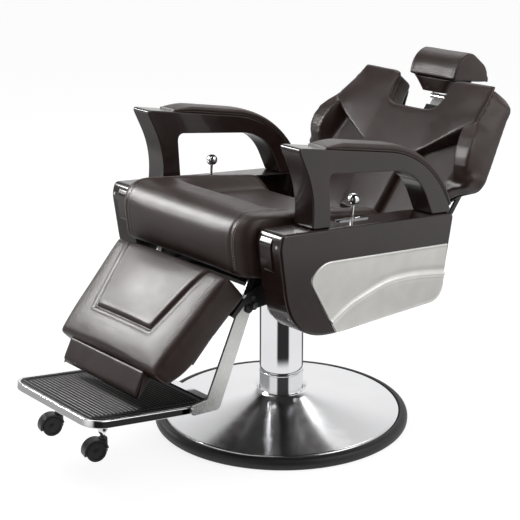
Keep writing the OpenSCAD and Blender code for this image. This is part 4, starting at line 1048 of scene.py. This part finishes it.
# seat section at x: front roll, sunken pan and side bolsters; the front corners turn back in plan
def seatPart():
    a = np.linspace(-1, 1, 121) * math.pi / 2
    xs = (seat["half"] - 3) * np.sin(a) * (0.55 + 0.45 * np.abs(np.sin(a)))
    rings = []
    for x in xs:
        k = smooth((abs(x) - 165) / 60)
        pan = mix(seat["pan"], seat["bolster"], k)
        end = np.clip((abs(x) - seat["half"] + seat["corner"]) / seat["corner"], 0, 1)
        backOff = seat["corner"] * (1 - math.sqrt(max(0, 1 - end * end)))
        outline = roundedOutline([
            (-354, seat["low"], 14), (-388, 648, 84), (-212, mix(640, seat["bolster"], k), 40),
            (-176, pan + 2, 18), (96, mix(seat["pan"] - 6, seat["bolster"] - 18, k), 34),
            (126, seat["board"], 8), (-250, seat["board"], 8), (-281, seat["low"], 8)], 4)
        outline = evenly(outline, 200, closed=True)
        outline = np.roll(outline, -int(np.argmin(outline[:, 1] + outline[:, 0] * 0.2)), 0)
        y = outline[:, 0] + backOff * smooth((-270 - outline[:, 0]) / 60)
        z = outline[:, 1] - 8 * end ** 4 * smooth((outline[:, 1] - 560) / 40)
        rings.append(np.stack([np.full(len(y), x), y, z], 1))
    return ringSkin(rings)


# a seam runs down the roll near each end, with two rows of stitches beside it
def makeSeat():
    endSeam = seat["endSeam"]

    def carve(p, n):
        d = np.abs(np.abs(p[:, 0]) - endSeam)
        front = smooth((-150 - p[:, 1]) / 60) * (n[:, 2] > -0.7)
        side = 2.4 * np.exp(-(d / 2.6) ** 2) - 0.8 * np.exp(-((d - 9) / 4.5) ** 2)
        return -side * front

    cushion = stuffed("seatCushion", seatPart(), "seat", "seat", "seat_cushion", seat, carve)
    section = [(-200, 646), (-270, 650), (-330, 642), (-362, 618), (-372, 580), (-366, 540), (-358, 508)]
    section = through(section, np.linspace(0, 1, 60))
    for side, way in twoSides:
        for k, x in enumerate((endSeam + 7, endSeam + 12)):
            line = inSlice(x * way, section)
            stitches("seatStitch%s%d" % (side, k), cushion, "seat", "seat", line)


makeSeat()


backSide = [(196, 24), (206, 80), (222, 128), (256, 168), (304, 190), (320, 220), (316, 262), (301, 346),
            (290, 404), (283, 444), (250, 470)]
panelSide = [(66, 32), (69, 110), (72, 170), (104, 238), (147, 268), (199, 300), (250, 336), (265, 354),
             (257, 410), (243, 478)]
backForm = {"front": -1.5, "rear": 82.5, "recess": 24, "wing": 26, "wingFoot": 322, "panel": 12.5,
            "voxel": 5, "pressure": 3, "cap": 3, "fill": 0.9, "relax": 1, "even": 30}


# depth of the centre panel's face: flat in the middle, and coming forward towards the wings
def panelDepth(x, u):
    return backForm["front"] - backForm["wing"] * smooth((np.abs(x) - 95) / 130) * smooth((470 - u) / 140)


# the outer cushion with its bolsters, and the Y-shaped panel that stands proud between them
def makeBack():
    b = backForm
    share = 9 / 14  # part of the columns that lie inside the bolsters

    def bolsterStart(v):
        return mix(0.62, 0.81, smooth((24 + 446 * v - 130) / 90))

    def bend(s, v):
        k = bolsterStart(v)
        return np.where(s < share, s / share * k, k + (s - share) / (1 - share) * (1 - k))

    # a broad side face runs back from the front edge to the rear one; the bolster's lip stands in front of
    # the hollow and continues the wing's edge downwards
    def front(x, u, s, v, rimShare):
        wing = smooth((u - b["wingFoot"]) / 26)
        edgeIn = np.interp(u, [200, 230, 262, 300, 330, 354, 478], [292, 299, 299, 292, 281, 265, 241])
        edgeOut = np.interp(u, [200, 230, 262, 346, 404, 444, 470], [319, 320, 316, 301, 290, 283, 250])
        hollow = mix(b["recess"], panelDepth(x, u) + 11, wing)
        lip = np.interp(u, [190, 204, 224, 244, 268, 300, 354, 410, 470],
                        [24, 6, -16, -28, -34, -35, -26, -10, 0])
        step = smooth((s - bolsterStart(v) + 0.01) / 0.05)
        face = mix(hollow, lip, step)
        panelEdge = np.interp(u, [300, 336, 354, 410, 478], [199, 250, 265, 257, 243])
        face = mix(face, panelDepth(x, u) + 11, wing * smooth((panelEdge - 2 - np.abs(x)) / 5))
        side = np.clip((np.abs(x) - edgeIn) / np.maximum(edgeOut - edgeIn, 8), 0, 1)
        return mix(face, 50, side * smooth((u - 196) / 40)) + 6 * drawIn(rimShare, 0.05)

    def rear(x, u, s, v, rimShare):
        return b["rear"] - 14 - 10 * drawIn(rimShare, 0.12)

    bottom = [(0, 18), (60, 18), (130, 18), (196, 24)]
    top = [(0, 372), (62, 374), (86, 386), (97, 428), (104, 466), (175, 470), (250, 470)]
    part = quilt(bottom, backSide, top, 100, 120, front, rear, bend)
    stuffed("backCushion", part, "back", "back", "back_cushion", b)

    def panelFront(x, u, s, v, rimShare):
        return panelDepth(x, u) + 8 * drawIn(rimShare, 0.05)

    def panelRear(x, u, s, v, rimShare):
        return mix(b["recess"] - 0.5, panelDepth(x, u) + b["panel"], smooth((u - b["wingFoot"]) / 26))

    bottom = [(0, 30), (30, 30), (66, 32)]
    top = [(0, 376), (60, 378), (88, 392), (99, 430), (107, 474), (175, 478), (243, 478)]
    part = quilt(bottom, panelSide, top, 70, 100, panelFront, panelRear)
    stuffed("backPanel", part, "back", "back", "back_panel", dict(b, voxel=4.4))


makeBack()


# moulded back shell with a rounded rim
def makeBackShell():
    side = [(188, 40), (200, 120), (246, 176), (296, 200), (304, 232), (268, 356), (236, 458), (112, 458),
            (96, 400), (60, 384)]
    corners = [(x, z, 14) for x, z in side] + [(-x, z, 14) for x, z in reversed(side)]
    outline = roundedOutline(corners, 4)
    rear = backForm["rear"]
    profile = [(rear - 13.4, 0), (rear - 6, 0)]
    profile += [(rear - 6 + 6 * math.sin(a), 6 - 6 * math.cos(a)) for a in np.radians([22, 45, 68, 90])]
    rings = [np.insert(inset(outline, d), 1, y, axis=1) for y, d in profile]
    addPiece("backShell", ringSkin(rings), "back", "back", "plastic", "back_shell")


makeBackShell()


# seam is how far the V-shaped seam reaches down from the top, and seamLow and seamHigh its half widths
pad = {"top": -13, "low": -298, "front": -108, "board": -22.4, "seam": 192, "seamLow": 112, "seamHigh": 158,
       "edgeRise": 6.5, "voxel": 5.5, "pressure": 4, "cap": 3, "fill": 0.9, "relax": 3, "even": 30}


# leg rest pad: the middle panel stands proud inside a V-shaped seam that crosses under it
def makeLegrest():
    low, top, seamLow, seamHigh = pad["low"], pad["top"], pad["seamLow"], pad["seamHigh"]
    seamFoot = top - pad["seam"]

    def front(x, u, s, v, rimShare):
        edge = np.interp(u, [seamFoot, top], [seamLow, seamHigh])
        inside = smooth((edge - np.abs(x)) / 10) * smooth((u - seamFoot) / 10)
        crown = 8 * np.cos(np.clip(np.abs(x) / 226, 0, 1) * math.pi / 2)
        crown = crown - 4 * smooth((seamFoot - 4 - u) / 100)
        rise = np.sin(np.clip((u - seamFoot) / pad["seam"], 0, 1) * math.pi)
        crown += inside * 9 * np.cos(np.clip(np.abs(x) / edge, 0, 1) * math.pi / 2) * rise
        return pad["front"] - 5 * inside - crown + 12 * drawIn(rimShare, 0.12)

    def rear(x, u, s, v, rimShare):
        return pad["board"] - 24 * np.clip((-205 - u) / 92, 0, 1) ** 2 - 6 * drawIn(rimShare, 0.12)

    part = quilt([(0, low), (100, low), (201, low)], [(201, low), (208, -220), (216, -120), (224, top)],
                 [(0, top), (110, top), (224, top)], 60, 70, front, rear)
    # the front edge of the pad's top stands up to the seat, and behind it the top stays low for the swing
    z = part[0][:, 2]
    part[0][:, 2] += pad["edgeRise"] * smooth((-90 - part[0][:, 1]) / 12) * smooth((z - top + 30) / 30)
    line = [(-seamHigh, top + 4), (-seamLow, seamFoot), (seamLow, seamFoot), (seamHigh, top + 4)]
    line = np.array(line, float)

    def carve(p, n):
        return seam(p[:, [0, 2]], line, 3.4, 3.0) * smooth((-n[:, 1] - 0.2) / 0.3)

    cushion = stuffed("legrestCushion", part, "pad", "legrest", "legrest_cushion", pad, carve)
    for side, way in twoSides:
        for k, (x0, x1) in enumerate(((192, 178), (198, 184))):
            line = [(mix(x0, x1, t) * way, -112, mix(top - 12, low + 60, t)) for t in np.linspace(0, 1, 50)]
            stitches("legrestStitch%s%d" % (side, k), cushion, "pad", "legrest", line)
    outline = roundedOutline([(-62, -296, 8), (-95, -296, 8), (-75, -354, 12), (-54, -356, 12)], 2.5)
    flap = plateSkin(outline, plateProfile(-152, 152, 5, 5))
    piece = addPiece("legrestFlap", flap, "pad", "legrest", "leather", "legrest_flap")


makeLegrest()


head = {"half": 87, "front": (-77, 18), "slope": 30.2, "voxel": 4, "pressure": 4, "cap": 3, "fill": 0.9,
        "relax": 2, "even": 24}


# a point s along the headrest's flat underside and d below it, in y and z
def underHead(s, d):
    a = math.radians(head["slope"])
    return np.array(head["front"]) + [s * math.cos(a) + d * math.sin(a), s * math.sin(a) - d * math.cos(a)]


# the cushion, the upholstered neck under it and the two steel ears that tilt on the post
def makeHeadrest():
    outline = roundedOutline([(-75, 18, 10), (-90, 66, 24), (-71, 125, 37), (37, 128, 38), (57, 96, 12)], 2.5)
    xs = (head["half"] - 1.5) * np.sin(np.linspace(-1, 1, 61) * math.pi / 2)
    rings = [inSlice(x, inset(outline, 1 + 2.4 * abs(x / head["half"]) ** 12)) for x in xs]
    edge = head["half"] - 7

    # a piped edge round each end panel, and one along the front of the underside
    def carve(p, n):
        d = np.abs(p[:, 0]) - edge
        pipe = 0.6 * np.exp(-(d / 1.8) ** 2) - 0.9 * np.exp(-((d + 4) / 1.8) ** 2)
        lip = np.linalg.norm(p[:, 1:] - np.array([-80, 25]), axis=1)
        return pipe * (np.abs(n[:, 0]) < 0.8) + 1.2 * np.exp(-(lip / 4) ** 2)

    cushion = stuffed("headrestCushion", ringSkin(rings), "head", "headrest", "headrest_cushion", head, carve)
    for k, (y, z) in enumerate(((-80.5, 36), (-81, 40))):
        line = [(x, y, z) for x in np.linspace(-edge + 10, edge - 10, 60)]
        stitches("headrestStitch%d" % k, cushion, "head", "headrest", line)

    # tapered neck under the cushion: its section is a squared circle that shrinks downwards
    a, b, c, d = [underHead(*q) for q in ((5, 0.6), (111, 0.6), (82, 40), (20, 40))]
    turn = np.linspace(0, 2 * math.pi, 72, endpoint=False)
    square = (np.abs(np.cos(turn)) ** 5 + np.abs(np.sin(turn)) ** 5) ** -0.2
    u, v = np.cos(turn) * square, (np.sin(turn) * square + 1) / 2
    rings = []
    for t in np.linspace(0, 1, 14):
        low, high, wide = mix(a, d, t), mix(b, c, t), mix(78, 45, t ** 0.8)
        rings.append(np.column_stack([u * wide, mix(low[0], high[0], v), mix(low[1], high[1], v)]))
    addPiece("headrestNeck", ringSkin(rings), "head", "headrest", "leather", "headrest_bracket")
    ear = roundedOutline([(-8, -8, 5), (8, -8, 5), (12, 8, 3), (*underHead(80, 38), 1),
                          (*underHead(40, 38), 1), (-10, 10, 3)], 1.5)
    ears = joined(plateSkin(ear, plateProfile(21, 27, 0.8, 2)), discPart(0, 0, 27, 32, 8))
    ears = joined(ears, mirrored(ears), discPart(0, 0, -30, 30, 4))
    addPiece("headrestEars", ears, "head", "headrest", "brushed")


makeHeadrest()
print("cushions made")
